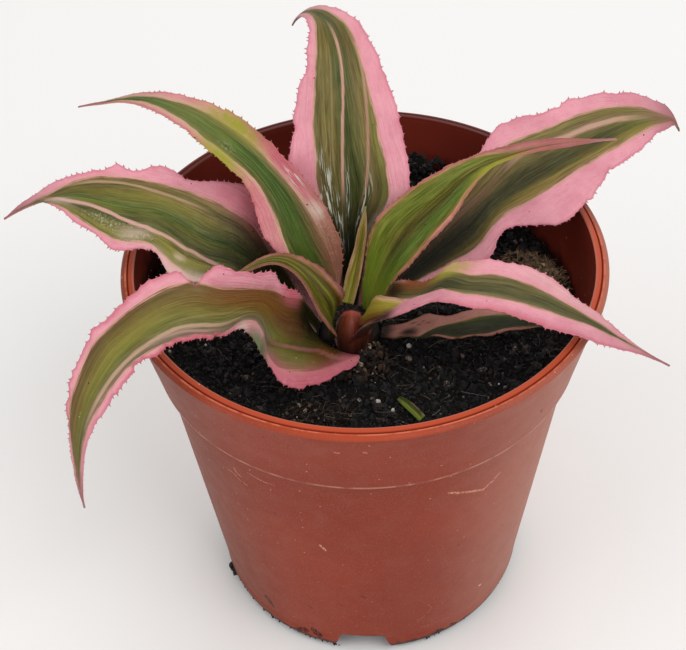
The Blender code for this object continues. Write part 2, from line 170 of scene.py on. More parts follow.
class Wiring:
    """Adds nodes to one tree and joins them, for shaders and for geometry."""

    def __init__(self, tree: NodeTree) -> None:
        """Keep the tree."""
        self.tree = tree

    def node(self, kind: str, inputs: Optional[dict[Any, Any]] = None, **settings: Any) -> Node:
        """Add a node.

        Args:
            kind: The node's type name.
            inputs: Socket names or numbers, each with a value or with the socket that feeds it.
            settings: The node's own properties.

        Returns:
            The new node.
        """
        made = self.tree.nodes.new(kind)
        for name, value in settings.items():
            setattr(made, name, value)
        self.feed_all(made, inputs or {})
        return made

    def feed(self, socket: NodeSocket, value: Any) -> None:
        """Link a socket to another, or give it a value.

        Args:
            socket: The socket to feed.
            value: A value, or the socket to link it to.
        """
        if isinstance(value, NodeSocket):
            self.tree.links.new(value, socket)
        else:
            socket.default_value = value

    def feed_all(self, node: Node, inputs: dict[Any, Any]) -> None:
        """Feed several sockets of a node, by name or number."""
        for key, value in inputs.items():
            self.feed(node.inputs[key], value)

    def math(self, operation: str, *values: Any, clamp: bool = False) -> NodeSocket:
        """Result of one calculation on numbers."""
        inputs = dict(enumerate(values))
        return self.node("ShaderNodeMath", inputs, operation=operation, use_clamp=clamp).outputs[0]

    def times(self, first: Any, second: Any) -> NodeSocket:
        """Product of two numbers."""
        return self.math("MULTIPLY", first, second)

    def plus(self, first: Any, second: Any) -> NodeSocket:
        """Sum of two numbers."""
        return self.math("ADD", first, second)

    def minus(self, first: Any, second: Any) -> NodeSocket:
        """First number less the second."""
        return self.math("SUBTRACT", first, second)

    def sway(self, value: Any, size: float) -> NodeSocket:
        """Value from 0 to 1 turned into a swing about nothing, of a whole size."""
        return self.times(self.minus(value, 0.5), size)

    def vector_math(self, operation: str, *values: Any) -> NodeSocket:
        """Result of one calculation on vectors."""
        made = self.node("ShaderNodeVectorMath", dict(enumerate(values)), operation=operation)
        return made.outputs["Value" if operation in {"LENGTH", "DOT_PRODUCT"} else "Vector"]

    def scaled(self, vector: Any, size: Any) -> NodeSocket:
        """Vector times a number."""
        return self.node("ShaderNodeVectorMath", {0: vector, "Scale": size}, operation="SCALE").outputs[0]

    def step(self, value: Any, low: float, high: float, out: Pair = (0.0, 1.0)) -> NodeSocket:
        """Smooth ramp from one value to another between two limits."""
        limits = {0: value, 1: low, 2: high, 3: out[0], 4: out[1]}
        return self.node("ShaderNodeMapRange", limits, interpolation_type="SMOOTHSTEP").outputs[0]

    def mix(self, share: Any, first: Any, second: Any) -> NodeSocket:
        """Colour between two others.

        Args:
            share: Share of the second colour.
            first: A socket, a colour or a screen colour's code.
            second: The same.

        Returns:
            The mixed colour.
        """
        first, second = (srgb(item) if isinstance(item, str) else item for item in (first, second))
        inputs = {0: share, 6: first, 7: second}
        return self.node("ShaderNodeMix", inputs, data_type="RGBA", clamp_factor=True).outputs[2]

    def noise(self, place: Any, scale: float, detail: float = 3.0, roughness: float = 0.55) -> NodeSocket:
        """Noise from 0 to 1 at a place."""
        inputs = {"Vector": place, "Scale": scale, "Detail": detail, "Roughness": roughness}
        return self.node("ShaderNodeTexNoise", inputs).outputs[0]

    def ramp(self, value: Any, stops: Sequence[tuple[float, str]]) -> NodeSocket:
        """Colour read from a row of stops.

        Args:
            value: Where to read, from 0 to 1.
            stops: Places in hundredths, each with a screen colour.

        Returns:
            The colour.
        """
        made = self.node("ShaderNodeValToRGB", {0: value})
        colours = made.color_ramp
        while len(colours.elements) < len(stops):
            colours.elements.new(0.5)
        for element, (place, code) in zip(colours.elements, stops):
            element.position = place / 100
            element.color = srgb(code)
        return made.outputs[0]

    def attribute(self, name: str) -> NodeSocket:
        """Number that the mesh carries under a name, for a shader."""
        return self.node("ShaderNodeAttribute", attribute_name=name).outputs["Fac"]

    def join(self, x: Any, y: Any, z: Any = 0.0) -> NodeSocket:
        """Vector of three numbers."""
        return self.node("ShaderNodeCombineXYZ", {0: x, 1: y, 2: z}).outputs[0]

    def split(self, vector: Any) -> Sequence[NodeSocket]:
        """The three numbers of a vector."""
        return self.node("ShaderNodeSeparateXYZ", {0: vector}).outputs

    def object_place(self) -> NodeSocket:
        """Place in the object's own coordinates, for a shader."""
        return self.node("ShaderNodeTexCoord").outputs["Object"]

    def placed(self, group: NodeTree, inputs: dict[str, Any]) -> Sequence[NodeSocket]:
        """Outputs of a shader group, set in with its inputs."""
        return self.node("ShaderNodeGroup", inputs, node_tree=group).outputs

    def bump(self, height: Any, strength: float, depth: float) -> NodeSocket:
        """Normal that shows a fine relief, its depth in mm."""
        inputs = {"Strength": strength, "Distance": depth * MM, "Height": height}
        return self.node("ShaderNodeBump", inputs).outputs[0]

    def position(self) -> NodeSocket:
        """Place of each point, for geometry."""
        return self.node("GeometryNodeInputPosition").outputs[0]

    def named(self, name: str, kind: str = "FLOAT") -> NodeSocket:
        """Value that the mesh carries under a name, for geometry."""
        return self.node("GeometryNodeInputNamedAttribute", {"Name": name}, data_type=kind).outputs[0]

    def store(self, shape: Any, name: str, value: Any, domain: str = "POINT") -> NodeSocket:
        """Store a number on geometry under a name.

        Args:
            shape: The geometry.
            name: The attribute's name.
            value: The number.
            domain: POINT or INSTANCE.

        Returns:
            The geometry with it.
        """
        inputs = {"Geometry": shape, "Name": name, "Value": value}
        made = self.node("GeometryNodeStoreNamedAttribute", inputs, data_type="FLOAT", domain=domain)
        return made.outputs[0]

    def random(self, low: Any, high: Any, seed: Any, vector: bool = False) -> NodeSocket:
        """Random number or vector for each point, between two limits.

        Args:
            low: The lower limit.
            high: The upper limit.
            seed: The seed.
            vector: Whether to draw a vector.

        Returns:
            The number or vector.
        """
        first, kind = (0, "FLOAT_VECTOR") if vector else (2, "FLOAT")
        inputs = {first: low, first + 1: high, "Seed": seed}
        made = self.node("FunctionNodeRandomValue", inputs, data_type=kind)
        return made.outputs[0 if vector else 1]

    def finish(self, shape: Any, material: Any, target: NodeSocket) -> None:
        """End a geometry tree: make the instances real, set the material and feed the output.

        Args:
            shape: The geometry.
            material: The input that gives the material.
            target: The tree's output.
        """
        real = self.node("GeometryNodeRealizeInstances", {0: shape}).outputs[0]
        dressed = self.node("GeometryNodeSetMaterial", {"Geometry": real, "Material": material})
        self.feed(target, dressed.outputs[0])


class Kind(Enum):
    """Socket types of a node group."""

    NUMBER = "NodeSocketFloat"
    WHOLE = "NodeSocketInt"
    VECTOR = "NodeSocketVector"
    MATERIAL = "NodeSocketMaterial"
    SHAPE = "NodeSocketGeometry"


def new_group(
    name: str, inputs: dict[str, Kind], outputs: dict[str, Kind], tree_type: str = "ShaderNodeTree"
) -> tuple[Wiring, Sequence[NodeSocket], Sequence[NodeSocket]]:
    """Empty node group with named sockets.

    Args:
        name: The group's name.
        inputs: Names and types of its inputs.
        outputs: Names and types of its outputs.
        tree_type: ShaderNodeTree or GeometryNodeTree.

    Returns:
        Its wiring, the sockets that give its inputs and the sockets to feed its outputs.
    """
    tree = bpy.data.node_groups.new(name, tree_type)
    for socket, kind in inputs.items():
        tree.interface.new_socket(socket, in_out="INPUT", socket_type=kind.value)
    for socket, kind in outputs.items():
        tree.interface.new_socket(socket, in_out="OUTPUT", socket_type=kind.value)
    net = Wiring(tree)
    return net, net.node("NodeGroupInput").outputs, net.node("NodeGroupOutput").inputs


def run_geometry(name: str, mesh: Mesh, tree: NodeTree, values: dict[str, Any]) -> Object:
    """Plain mesh object that a geometry tree makes from a mesh.

    Args:
        name: The new object's name.
        mesh: The mesh that the tree starts from.
        tree: The geometry tree.
        values: The tree's inputs by name.

    Returns:
        The finished object, with no modifier left on it.
    """
    source = new_object(name + "_source", mesh)
    modifier = source.modifiers.new("make", "NODES")
    modifier.node_group = tree
    sockets = {item.name: item.identifier for item in tree.interface.items_tree if item.in_out == "INPUT"}
    for key, value in values.items():
        modifier[sockets[key]] = value
    plain = plain_copy(source)
    bpy.data.objects.remove(source, do_unlink=True)
    plain.name = name
    return new_object(name, plain)


def plain_copy(source: Object) -> Mesh:
    """Mesh that an object's modifiers make."""
    graph = bpy.context.evaluated_depsgraph_get()
    return bpy.data.meshes.new_from_object(source.evaluated_get(graph), depsgraph=graph)


# Shared shader groups


class SharedEffects:
    """Shader groups that more than one material uses, each made once."""

    def __init__(self) -> None:
        """Make the groups."""
        self.streaks = self._streaks()
        self.specks = self._specks()
        self.scratch = self._scratch()

    @staticmethod
    def _streaks() -> NodeTree:
        """Long fibres that follow a blade: a broad and a fine value.

        Returns:
            The group.
        """
        inputs = {"Lane": Kind.NUMBER, "Along": Kind.NUMBER, "Lines": Kind.NUMBER}
        net, given, made = new_group("leaf_streaks", inputs, {"Broad": Kind.NUMBER, "Fine": Kind.NUMBER})
        across = net.times(given["Lane"], given["Lines"])
        slow = net.times(given["Along"], 0.035)
        broad = net.noise(net.join(net.times(across, 0.32), slow), 1, 2)
        quick = net.times(given["Along"], 0.16)
        fine = net.noise(net.join(across, quick, 4), 1, 2, 0.6)
        net.feed(made["Broad"], net.step(broad, 0.32, 0.68))
        net.feed(made["Fine"], net.step(fine, 0.3, 0.7))
        return net.tree

    @staticmethod
    def _specks() -> NodeTree:
        """Small scattered dots: a mask.

        Returns:
            The group.
        """
        inputs = {"Place": Kind.VECTOR, "Per Metre": Kind.NUMBER, "Share": Kind.NUMBER, "Size": Kind.NUMBER}
        net, given, made = new_group("scattered_specks", inputs, {"Mask": Kind.NUMBER})
        layout = {"Vector": given["Place"], "Scale": given["Per Metre"], "Randomness": 1.0}
        cells = net.node("ShaderNodeTexVoronoi", layout)
        chosen = net.node("ShaderNodeSeparateColor", {0: cells.outputs["Color"]})
        kept = net.math("LESS_THAN", chosen.outputs[0], given["Share"])
        wobble = net.noise(given["Place"], 2600, 2)
        reach = net.times(given["Size"], net.plus(wobble, 0.4))
        near = net.math("LESS_THAN", cells.outputs["Distance"], reach)
        net.feed(made["Mask"], net.times(kept, near))
        return net.tree

    @staticmethod
    def _scratch() -> NodeTree:
        """Broken line between two places: a mask.

        Returns:
            The group.
        """
        inputs = {"Place": Kind.VECTOR, "From": Kind.VECTOR, "To": Kind.VECTOR, "Width": Kind.NUMBER}
        net, given, made = new_group("scratch_line", inputs, {"Mask": Kind.NUMBER})
        run = net.vector_math("SUBTRACT", given["To"], given["From"])
        reach = net.vector_math("SUBTRACT", given["Place"], given["From"])
        covered = net.vector_math("DOT_PRODUCT", reach, run)
        share = net.math("DIVIDE", covered, net.vector_math("DOT_PRODUCT", run, run), clamp=True)
        away = net.vector_math("LENGTH", net.vector_math("SUBTRACT", reach, net.scaled(run, share)))
        drift = net.times(net.noise(given["Place"], 0.55, 2), given["Width"])
        thin = net.math("LESS_THAN", net.minus(away, drift), 0)
        broken = net.step(net.noise(given["Place"], 1.7, 1), 0.38, 0.52)
        net.feed(made["Mask"], net.times(thin, broken))
        return net.tree


def new_material(name: str) -> tuple[Material, Wiring, Node]:
    """Material with its Principled shader.

    Args:
        name: The material's name.

    Returns:
        The material, its wiring and the shader node.
    """
    material = bpy.data.materials.new(name)
    material.use_nodes = True
    return material, Wiring(material.node_tree), material.node_tree.nodes["Principled BSDF"]


# Leaves


class Mark(Enum):
    """Patches over a leaf's bands, some painted light and shade; the value is the attribute's name."""

    YELLOW = "yellow_patch"
    TAN = "tan_patch"
    SCURF = "scurf_patch"
    # Glossy spots: lower roughness, with pale broken lines painted on as a highlight.
    WET_AND_HIGHLIGHT = "wet_patch"
    # Near-black patches: mostly painted shade near the roots and in gaps between leaves, with a few small
    # dark specks.
    SHADE_AND_SPECK = "deep_patch"
    ROSE = "rose_patch"
    LIT = "lit_patch"
    RUST = "rust_patch"
    SAGE = "sage_patch"
    PALE = "pale_patch"
    RUSSET = "russet_patch"


MARK_TONES = {
    Mark.YELLOW: "9c982f",
    Mark.TAN: "9a6650",
    # Painted shade, and a few dark specks.
    Mark.SHADE_AND_SPECK: "151309",
    Mark.ROSE: "c4606e",
    Mark.LIT: "8f8a38",
    Mark.RUST: "783e16",
    Mark.SAGE: "6d7552",
    Mark.PALE: "d9bdae",
    Mark.RUSSET: "5e2c24",
}

Line = tuple[Pair, ...]
Rows = tuple[Stations, ...]


@dataclass(frozen=True)
class Spot:
    """Soft oval patch on a leaf: its middle and reach, as shares of the length and of the half width."""

    along: float
    across: float
    reach: float
    breadth: float
    strength: float = 1.0


@dataclass(frozen=True)
class Pull:
    """Local pull of the blade towards a direction in the frame, in mm."""

    along: float
    across: float
    reach: float
    breadth: float
    shift: Triple


@dataclass(frozen=True)
class Stripe:
    """Thin line along a blade through places given in hundredths of the length and of the half width.

    drop lowers the blade on the stripe's left side, as a crease does, in mm.
    """

    line: Line
    half_width: float
    tone: str
    strength: float = 1.0
    drop: float = 0.0


@dataclass(frozen=True)
class LeafForm:
    """Shape of one blade, at even stations from base to tip.

    Each row of swings is a local swing of a margin: its place and reach in hundredths of the length, and its
    size outward, in mm.
    """

    name: str
    root: Triple
    length: float
    turn: Stations
    climb: Stations
    roll: Stations
    left: Stations
    right: Stations
    cup: Stations
    ruffle: float
    left_swings: Rows = ()
    right_swings: Rows = ()
    pulls: tuple[Pull, ...] = ()
    ragged: float = 0.22
    teeth: float = 1.0


@dataclass(frozen=True)
class LeafLook:
    """Colours of one blade.

    green_left and green_right are the lines where the green band ends, and band is the row of colours across
    it, from left to right. These and the numbers of the Spots in spots are in hundredths.
    """

    green_left: Line
    green_right: Line
    band: tuple[tuple[float, str], ...]
    pink: str = "e699a6"
    pale: str = "d29c8b"
    rose: str = "cf7285"
    cream: float = 0.9
    # Tone towards the root: on the dark bases it is painted shade deep in the rosette, on the paler ones the
    # blade's own colour.
    base: str = "2f3414"
    base_reach: float = 0.3
    base_share: float = 0.6
    tip: str = "b07078"
    under: str = "8a8f72"
    spots: dict[Mark, Rows] = field(default_factory=dict)
    stripes: tuple[Stripe, ...] = ()
    streak_lines: float = 32.0
    streak_share: float = 0.55


@dataclass(frozen=True)
class Crown:
    """Short stem: the sizes that the leaves' roots depend on."""

    x: float = -4.0
    y: float = -6.0
    standoff: float = 1.2
    profile: tuple[Pair, ...] = (
        (0.0, 96.8),
        (1.6, 96.3),
        (3.4, 95.0),
        (4.7, 93.4),
        (6.0, 92.0),
        (7.2, 90.4),
        (7.6, 88.8),
    )

    def radius(self, height: float) -> float:
        """Radius at a height."""
        radii, heights = zip(*self.profile)
        return float(np.interp(-height, [-z for z in heights], radii))

    def seat(self, azimuth: float, height: float) -> Triple:
        """Place just off the skin, from which a leaf grows.

        Args:
            azimuth: Direction round the stem, in degrees from +X.
            height: Height above the pot's foot.

        Returns:
            The place in the frame.
        """
        reach = self.radius(height) + self.standoff
        angle = math.radians(azimuth)
        return (self.x + POT_AXIS_X + reach * math.cos(angle), self.y + reach * math.sin(angle), height)


CROWN = Crown()

BACK_FORM = LeafForm(
    "leaf_back", CROWN.seat(90, 91.0), 88.5, turn=(87, 89, 99, 148), climb=(70, 69, 65, 54, 21, -66),
    roll=(0, 0, 0, 0), left=(3, 4.5, 10.5, 14.5, 14, 11.5, 7.5, 3, 0),
    right=(3, 4.5, 7.5, 15.5, 14.5, 11, 8, 5, 0), cup=(15, 25, 10, 8), ruffle=0.6,
    left_swings=((70, 3, -0.8), (53, 2.5, -0.7), (45, 3, 0.4)), right_swings=((34, 5, 1.2), (50, 3, -0.4)),
)
BACK_LOOK = LeafLook(
    green_left=((0, 50), (20, 50), (35, 55), (50, 59), (70, 69), (80, 70), (87, 48), (100, 10)),
    green_right=((0, -80), (25, -100), (40, -67), (50, -57), (70, -55), (80, -62), (100, -20)),
    band=(
        (0, "94845c"), (5, "7a6c42"), (18, "86774a"), (28, "7f7344"), (34, "75693e"), (40, "4c562b"),
        (50, "3d4c20"), (60, "465025"), (70, "5c5a34"), (80, "86714c"), (88, "766c3c"), (95, "7d7c3e"),
        (100, "948058"),
    ),
    spots={
        Mark.WET_AND_HIGHLIGHT: ((34, 42, 12, 13), (30, 0, 11, 5), (31, -36, 10, 5), (27, 22, 9, 6)),
        Mark.SHADE_AND_SPECK: ((12, 0, 16, 120, 85),),
        Mark.ROSE: ((33, 85, 12, 30, 35),),
        Mark.PALE: ((24, -95, 10, 25, 50),),
    },
    stripes=(
        Stripe(((30, 12), (43, 10), (55, 7), (71, -2), (84, -10)), 0.5, "cf9f8b", 0.9),
        Stripe(((30, -32), (41, -35), (52, -40), (62, -47), (70, -53), (80, -56)), 0.45, "c08c7a", 0.7),
        Stripe(((42, 26), (60, 28), (78, 30)), 0.3, "9a8a5c", 0.5),
    ),
    base="14240d", base_reach=0.52, base_share=0.92, tip="b5807c", streak_lines=42,
)
UPPER_LEFT_FORM = LeafForm(
    "leaf_upper_left", CROWN.seat(148, 93.5), 98, turn=(148, 139, 151, 165),
    climb=(82, 65, 41, 15, -8, -25), roll=(-10, -25, -7, -4), left=(2, 4, 11, 7, 7.5, 4, 1, 0),
    right=(2, 6.5, 8, 6, 5, 4, 2, 0), cup=(12, 32, 14, 5), ruffle=0.4,
    left_swings=((47, 3, 0.7), (67, 5, 0.4)), right_swings=((90, 5, -0.5),),
    pulls=(Pull(0.93, 0, 0.05, 3, (0, 0, -0.5)),),
)
UPPER_LEFT_LOOK = LeafLook(
    green_left=(
        (0, 95), (20, 92), (25, 68), (30, 52), (35, 50), (40, 59), (45, 68), (50, 75), (60, 76), (70, 73),
        (80, 35), (100, 5),
    ),
    green_right=(
        (0, -80), (10, -66), (20, -52), (30, -50), (40, -50), (50, -46), (60, -42), (70, -40), (80, -46),
        (100, -20),
    ),
    band=(
        (0, "86794a"), (10, "5c6b33"), (30, "3c6427"), (55, "4b7a37"), (75, "53713a"), (92, "77704a"),
        (100, "bb9a7e"),
    ),
    spots={
        Mark.YELLOW: ((55, -68, 10, 38), (52, 92, 8, 25)),
        Mark.TAN: ((17, -80, 15, 55, 95), (40, -100, 14, 22, 80)),
        Mark.ROSE: ((41, -85, 8, 35, 90), (36, 85, 5, 30, 40)),
        Mark.PALE: ((28.5, -72, 2.5, 20, 95),),
        Mark.SCURF: ((24, -72, 5, 26, 60), (53, 45, 2.5, 18, 70)),
        Mark.WET_AND_HIGHLIGHT: ((37, -75, 3, 20),),
        Mark.LIT: ((66, 10, 14, 80, 25),),
    },
    pink="dc8e90", pale="d3ab8f", rose="b95c58", cream=1.4, base="35500f", base_reach=0.4, base_share=0.8,
)
LEFT_FORM = LeafForm(
    "leaf_left", CROWN.seat(176, 90.5), 92.5, turn=(165, 164, 175, 187), climb=(56, 52, 33, 13, -7, -33),
    roll=(-7, -28, -34, -18), left=(3, 4, 8.5, 13.5, 17, 12.5, 13.5, 7, 1, 0),
    right=(3, 4.5, 9, 13, 11, 8, 6.5, 5, 2.5, 0), cup=(15, 18, 8, 5), ruffle=0.8,
    left_swings=((90, 6, -1.2), (78.5, 2.5, 1), (64, 5, 0.6), (53.5, 3.5, -0.8)),
    right_swings=(
        (85, 2, 0.5), (76.5, 2.5, -0.5), (69, 1.8, 1.1), (64, 2, -0.6), (58.5, 3, 0.9), (50, 4.5, -1.6),
    ),
)
LEFT_LOOK = LeafLook(
    green_left=(
        (0, 60), (30, 80), (39, 93), (42, 90), (47, 85), (60, 88), (66, 85), (72, 88), (78, 90), (82, 80),
        (88, 50), (100, 20),
    ),
    green_right=(
        (0, -50), (27, -35), (35, -45), (41, -46), (49, -51), (56, -57), (64, -63), (71, -69), (79, -68),
        (86, -30), (100, -10),
    ),
    band=(
        (0, "8f8a4e"), (8, "85813c"), (20, "847c48"), (28, "5a6132"), (38, "3f431a"), (48, "5f6a26"),
        (57, "567036"), (66, "5f6130"), (76, "7a7138"), (83, "8f7a4e"), (88, "5f5a30"), (94, "7f6e44"),
        (100, "9c7c5c"),
    ),
    spots={
        Mark.SCURF: ((70, 60, 7, 12), (60, 76, 6, 9)),
        Mark.SHADE_AND_SPECK: ((24, 0, 17, 95, 85), (40, -100, 15, 60, 28)),
        Mark.ROSE: ((33, -80, 12, 40, 75),),
        Mark.PALE: ((61, 70, 5, 14, 45), (38, 100, 16, 16, 90), (46, 72, 2, 5, 60), (86, 35, 6, 30, 50)),
        Mark.LIT: ((60, -5, 16, 18, 35), (46, 74, 10, 10, 60)),
    },
    stripes=(
        Stripe(
            (
                (28, 62), (37, 60), (43, 54), (49, 55), (55.7, 61), (61.3, 53), (68.3, 40), (74.7, 35),
                (81, 32), (86, 10), (90, -40),
            ),
            0.55, "d2a394", 0.95,
        ),
        Stripe(((28, 72), (40, 63), (49, 64), (55.7, 70), (61.3, 61), (67, 50)), 0.3, "5a3a1c", 0.8),
        Stripe(((42, -23), (52, -27), (60, -35), (67, -45), (75, -53), (83, -50)), 0.4, "c09a7c", 0.75),
    ),
    base="20230c", base_reach=0.42, base_share=0.75, streak_lines=42,
)
FRONT_LEFT_FORM = LeafForm(
    "leaf_front_left", CROWN.seat(222, 90.0), 118, turn=(253, 206, 221, 232),
    climb=(55, 53, 23, -28, -68, -91), roll=(-23, -66, -18, 0),
    left=(2.5, 13, 15, 3, 7, 7, 6, 4.5, 2, 1, 0), right=(2.5, 4.5, 7, 8, 7.5, 8.5, 7, 7, 5, 2, 0),
    cup=(10, 5, 5, 5), ruffle=0.6,
    left_swings=((29, 4.5, 4.2), (37, 3, 1.2), (12.5, 4, -1.3), (52, 4, -0.7), (61, 3, -1.1)),
    right_swings=(
        (44.5, 1.6, -3.2), (40.5, 2, 0.8), (55, 2, -0.6), (63, 3, 0.7), (80, 6, -1.1), (30, 2, 0.8),
        (25, 2.5, -1.1),
    ),
    pulls=(Pull(0.038, 1, 0.026, 0.3, (4.2, -0.6, 0.2)),), ragged=0.35,
)
FRONT_LEFT_LOOK = LeafLook(
    green_left=(
        (0, 110), (6.3, 78), (12.3, 68), (16.3, 69), (20, 76), (24, 98), (27, 110), (32, 105), (37, 105),
        (40, 98), (45, 93), (50, 84), (55, 80), (60, 72), (67, 66), (75, 60), (85, 45), (100, 10),
    ),
    green_right=(
        (0, -110), (16, -110), (20, -85), (24, -62), (30, -58), (40, -46), (45, -67), (54, -64), (60, -76),
        (63, -85), (69, -74), (80, -74), (100, -20),
    ),
    band=(
        (0, "96746a"), (6, "8a7468"), (14, "7a7054"), (28, "73703f"), (42, "7b783a"), (58, "7f703c"),
        (74, "785f38"), (90, "6f5536"), (100, "7f5c40"),
    ),
    spots={
        Mark.SHADE_AND_SPECK: ((4, -30, 5.5, 95), (13, -40, 8.5, 80)),
        Mark.LIT: ((17, 55, 8, 20, 40), (60, -15, 12, 35, 40)),
        Mark.RUST: ((32, -25, 12, 45, 65), (9, 50, 5, 25, 50)),
        Mark.ROSE: (
            (23, -85, 4, 40, 90), (13, 95, 14, 30, 85), (50, 100, 20, 12, 90), (60, -100, 30, 10, 40),
        ),
        Mark.RUSSET: ((22, 12, 6, 25, 55),),
        Mark.SAGE: ((28.5, 100, 4, 42),),
        Mark.PALE: ((33.5, 90, 1.5, 25, 80),),
    },
    stripes=(
        Stripe(
            (
                (2, 120), (5.3, 80), (8.3, 43), (11, 33), (14.3, 32), (17, 35), (19.7, 38), (22.7, 48),
                (25, 70), (28, 95),
            ),
            0.4, "c67a80", 0.9, 1.6,
        ),
        Stripe(((33, 72), (42, 66), (50, 52), (58, 50), (68, 40), (80, 30)), 0.55, "c3a184", 0.8),
        Stripe(((36, 86), (44, 80), (50, 66), (60, 48)), 0.4, "b78f86", 0.7),
        Stripe(((30, 35), (38, 35), (46, 32), (54, 30)), 0.3, "9c8160", 0.5),
    ),
    base="262a0c", base_reach=0.34, base_share=0.75, streak_lines=38, streak_share=0.4,
)
YOUNG_CURLED_FORM = LeafForm(
    "leaf_young_curled", CROWN.seat(232, 92.3), 42, turn=(228, 160, 189, 207), climb=(85, 67, 20, -37),
    roll=(-14, -16, -4, -2), left=(2, 4.5, 5.5, 5, 2.5, 1.2, 1, 0), right=(2, 4.5, 6, 5, 3.5, 2, 1, 0),
    cup=(5, 36, 25, 15), ruffle=0,
    pulls=(Pull(0.68, 0, 0.14, 3, (0, 0, 1.8)), Pull(1, 0, 0.28, 3, (0, -2.4, 2.3))), teeth=0.6,
)
YOUNG_CURLED_LOOK = LeafLook(
    green_left=((0, 80), (60, 75), (80, 60), (100, 30)),
    green_right=((0, -85), (60, -80), (80, -60), (100, -30)),
    band=(
        (0, "8a6236"), (10, "7f7a2c"), (20, "4a2a14"), (32, "848a30"), (42, "4e3218"), (52, "8c9236"),
        (64, "482a14"), (77, "7d8230"), (88, "562f18"), (100, "8f6038"),
    ),
    pink="a3684e", pale="9a7442", rose="743524", cream=0.4, base="4d6412", tip="ad7a70", streak_lines=22,
    streak_share=0.6,
)
RIGHT_BACK_FORM = LeafForm(
    "leaf_right_back", CROWN.seat(45, 90.5), 95, turn=(33, 25, 21, 14), climb=(33, 31, 24, 18, 14, -7),
    roll=(10, 27, 21, 33), left=(3, 4, 7, 9.5, 11.5, 17, 14.5, 13.5, 9.5, 0),
    right=(3, 4, 8.5, 11, 7, 14.5, 11, 7.5, 4, 0), cup=(15, 15, 5, 0), ruffle=0.9,
    left_swings=((65, 2.5, -0.5), (74.5, 2.2, 0.9), (85, 3.5, -1.1), (96, 2, 0.8)),
    right_swings=((91, 2, -0.8), (73.5, 2.5, -1.3), (66, 1.2, 0.5), (47, 5, 1.2), (39, 2.5, -0.7)),
    pulls=(Pull(1.01, 0, 0.028, 3, (-1, -0.5, -4)),),
)
RIGHT_BACK_LOOK = LeafLook(
    green_left=((0, 70), (50, 71), (60, 65), (70, 71), (80, 65), (90, 52), (100, 10)),
    green_right=(
        (0, -70), (30, -62), (40, -57), (45, -55), (50, -40), (55, -31), (70, -33), (80, -40), (90, -20),
        (100, -5),
    ),
    band=(
        (0, "a58f66"), (10, "857746"), (18, "8f7a56"), (30, "8a7052"), (40, "6a5c38"), (52, "3f3d1f"),
        (64, "2f3216"), (74, "474524"), (82, "7f7138"), (90, "9a8148"), (100, "b28f70"),
    ),
    spots={
        Mark.SHADE_AND_SPECK: ((22, -10, 24, 50, 90), (16, 50, 20, 70, 85), (50, 2, 14, 14, 50)),
        Mark.LIT: ((88, 0, 8, 40, 35),),
        Mark.TAN: ((20, 50, 20, 35, 35), (100, 0, 3.5, 300, 80)),
    },
    stripes=(
        Stripe(((50, 42), (62, 45), (72, 40), (82, 34), (92, 20)), 0.9, "caa08c", 0.85),
        Stripe(((22, 30), (36, 34), (50, 36)), 0.8, "8a6652", 0.5),
        Stripe(((50, -12), (62, -16), (74, -20), (86, -12)), 0.35, "93834c", 0.6),
    ),
    base="15140a", base_reach=0.5, base_share=0.95, streak_lines=42,
)
RIGHT_INNER_FORM = LeafForm(
    "leaf_right_inner", CROWN.seat(18, 94.6), 84, turn=(26, 26, 18, 10), climb=(76, 60, 36, 14, -2, -6),
    roll=(14, 27, 16, 3), left=(2, 4.5, 7.5, 5.5, 3.5, 2, 0.7, 0), right=(2, 5, 9, 9.5, 3, 0.9, 0.9, 0),
    cup=(6, 36, 25, 15), ruffle=0.3, left_swings=((82, 10, 0.7),),
    right_swings=((62, 4, -0.5), (40, 3, 0.5), (80, 10, 0.6)), teeth=0.7,
)
RIGHT_INNER_LOOK = LeafLook(
    green_left=((0, 120), (10, 100), (30, 94), (50, 90), (60, 80), (70, 30), (100, 10)),
    green_right=((0, -96), (20, -93), (40, -92), (50, -90), (60, -88), (70, -30), (100, -10)),
    band=(
        (0, "8f8040"), (6, "869040"), (20, "7d8e38"), (36, "767a30"), (46, "6a5f28"), (56, "4c4a1a"),
        (66, "405216"), (82, "4f7a2c"), (93, "78803c"), (100, "a07a4e"),
    ),
    spots={
        Mark.YELLOW: ((63, -75, 9, 55),),
        Mark.ROSE: ((82, 0, 13, 300, 45),),
        Mark.LIT: ((3, 0, 14, 120, 50),),
        Mark.SHADE_AND_SPECK: ((24, -5, 10, 16, 60), (17, -40, 8, 35, 30), (45, 30, 20, 8, 25)),
    },
    pink="c2806c", pale="b08a58", rose="8e4436", cream=0.5, base="57800c", base_share=0.85, tip="d08a90",
    streak_lines=26,
)
RIGHT_FRONT_FORM = LeafForm(
    "leaf_right_front", CROWN.seat(290, 91.0), 92.5, turn=(-63, -8, -21, -18),
    climb=(79, 49, 20, -10, -22, -23), roll=(6, 5, 5, 2), left=(3.5, 4.5, 5.5, 3, 5.5, 7, 5.5, 3.5, 1, 0),
    right=(4, 5, 5.5, 6.5, 8, 9.5, 7.5, 5.5, 3, 0), cup=(6, 25, 8, 2), ruffle=0.6,
    left_swings=((28, 6, 1.4), (41, 3, 1), (70, 3, -0.5)),
    right_swings=((37, 2.5, -0.6), (46.5, 3.5, 1.2), (58, 5, 0.5), (90, 7, -1.2)),
)
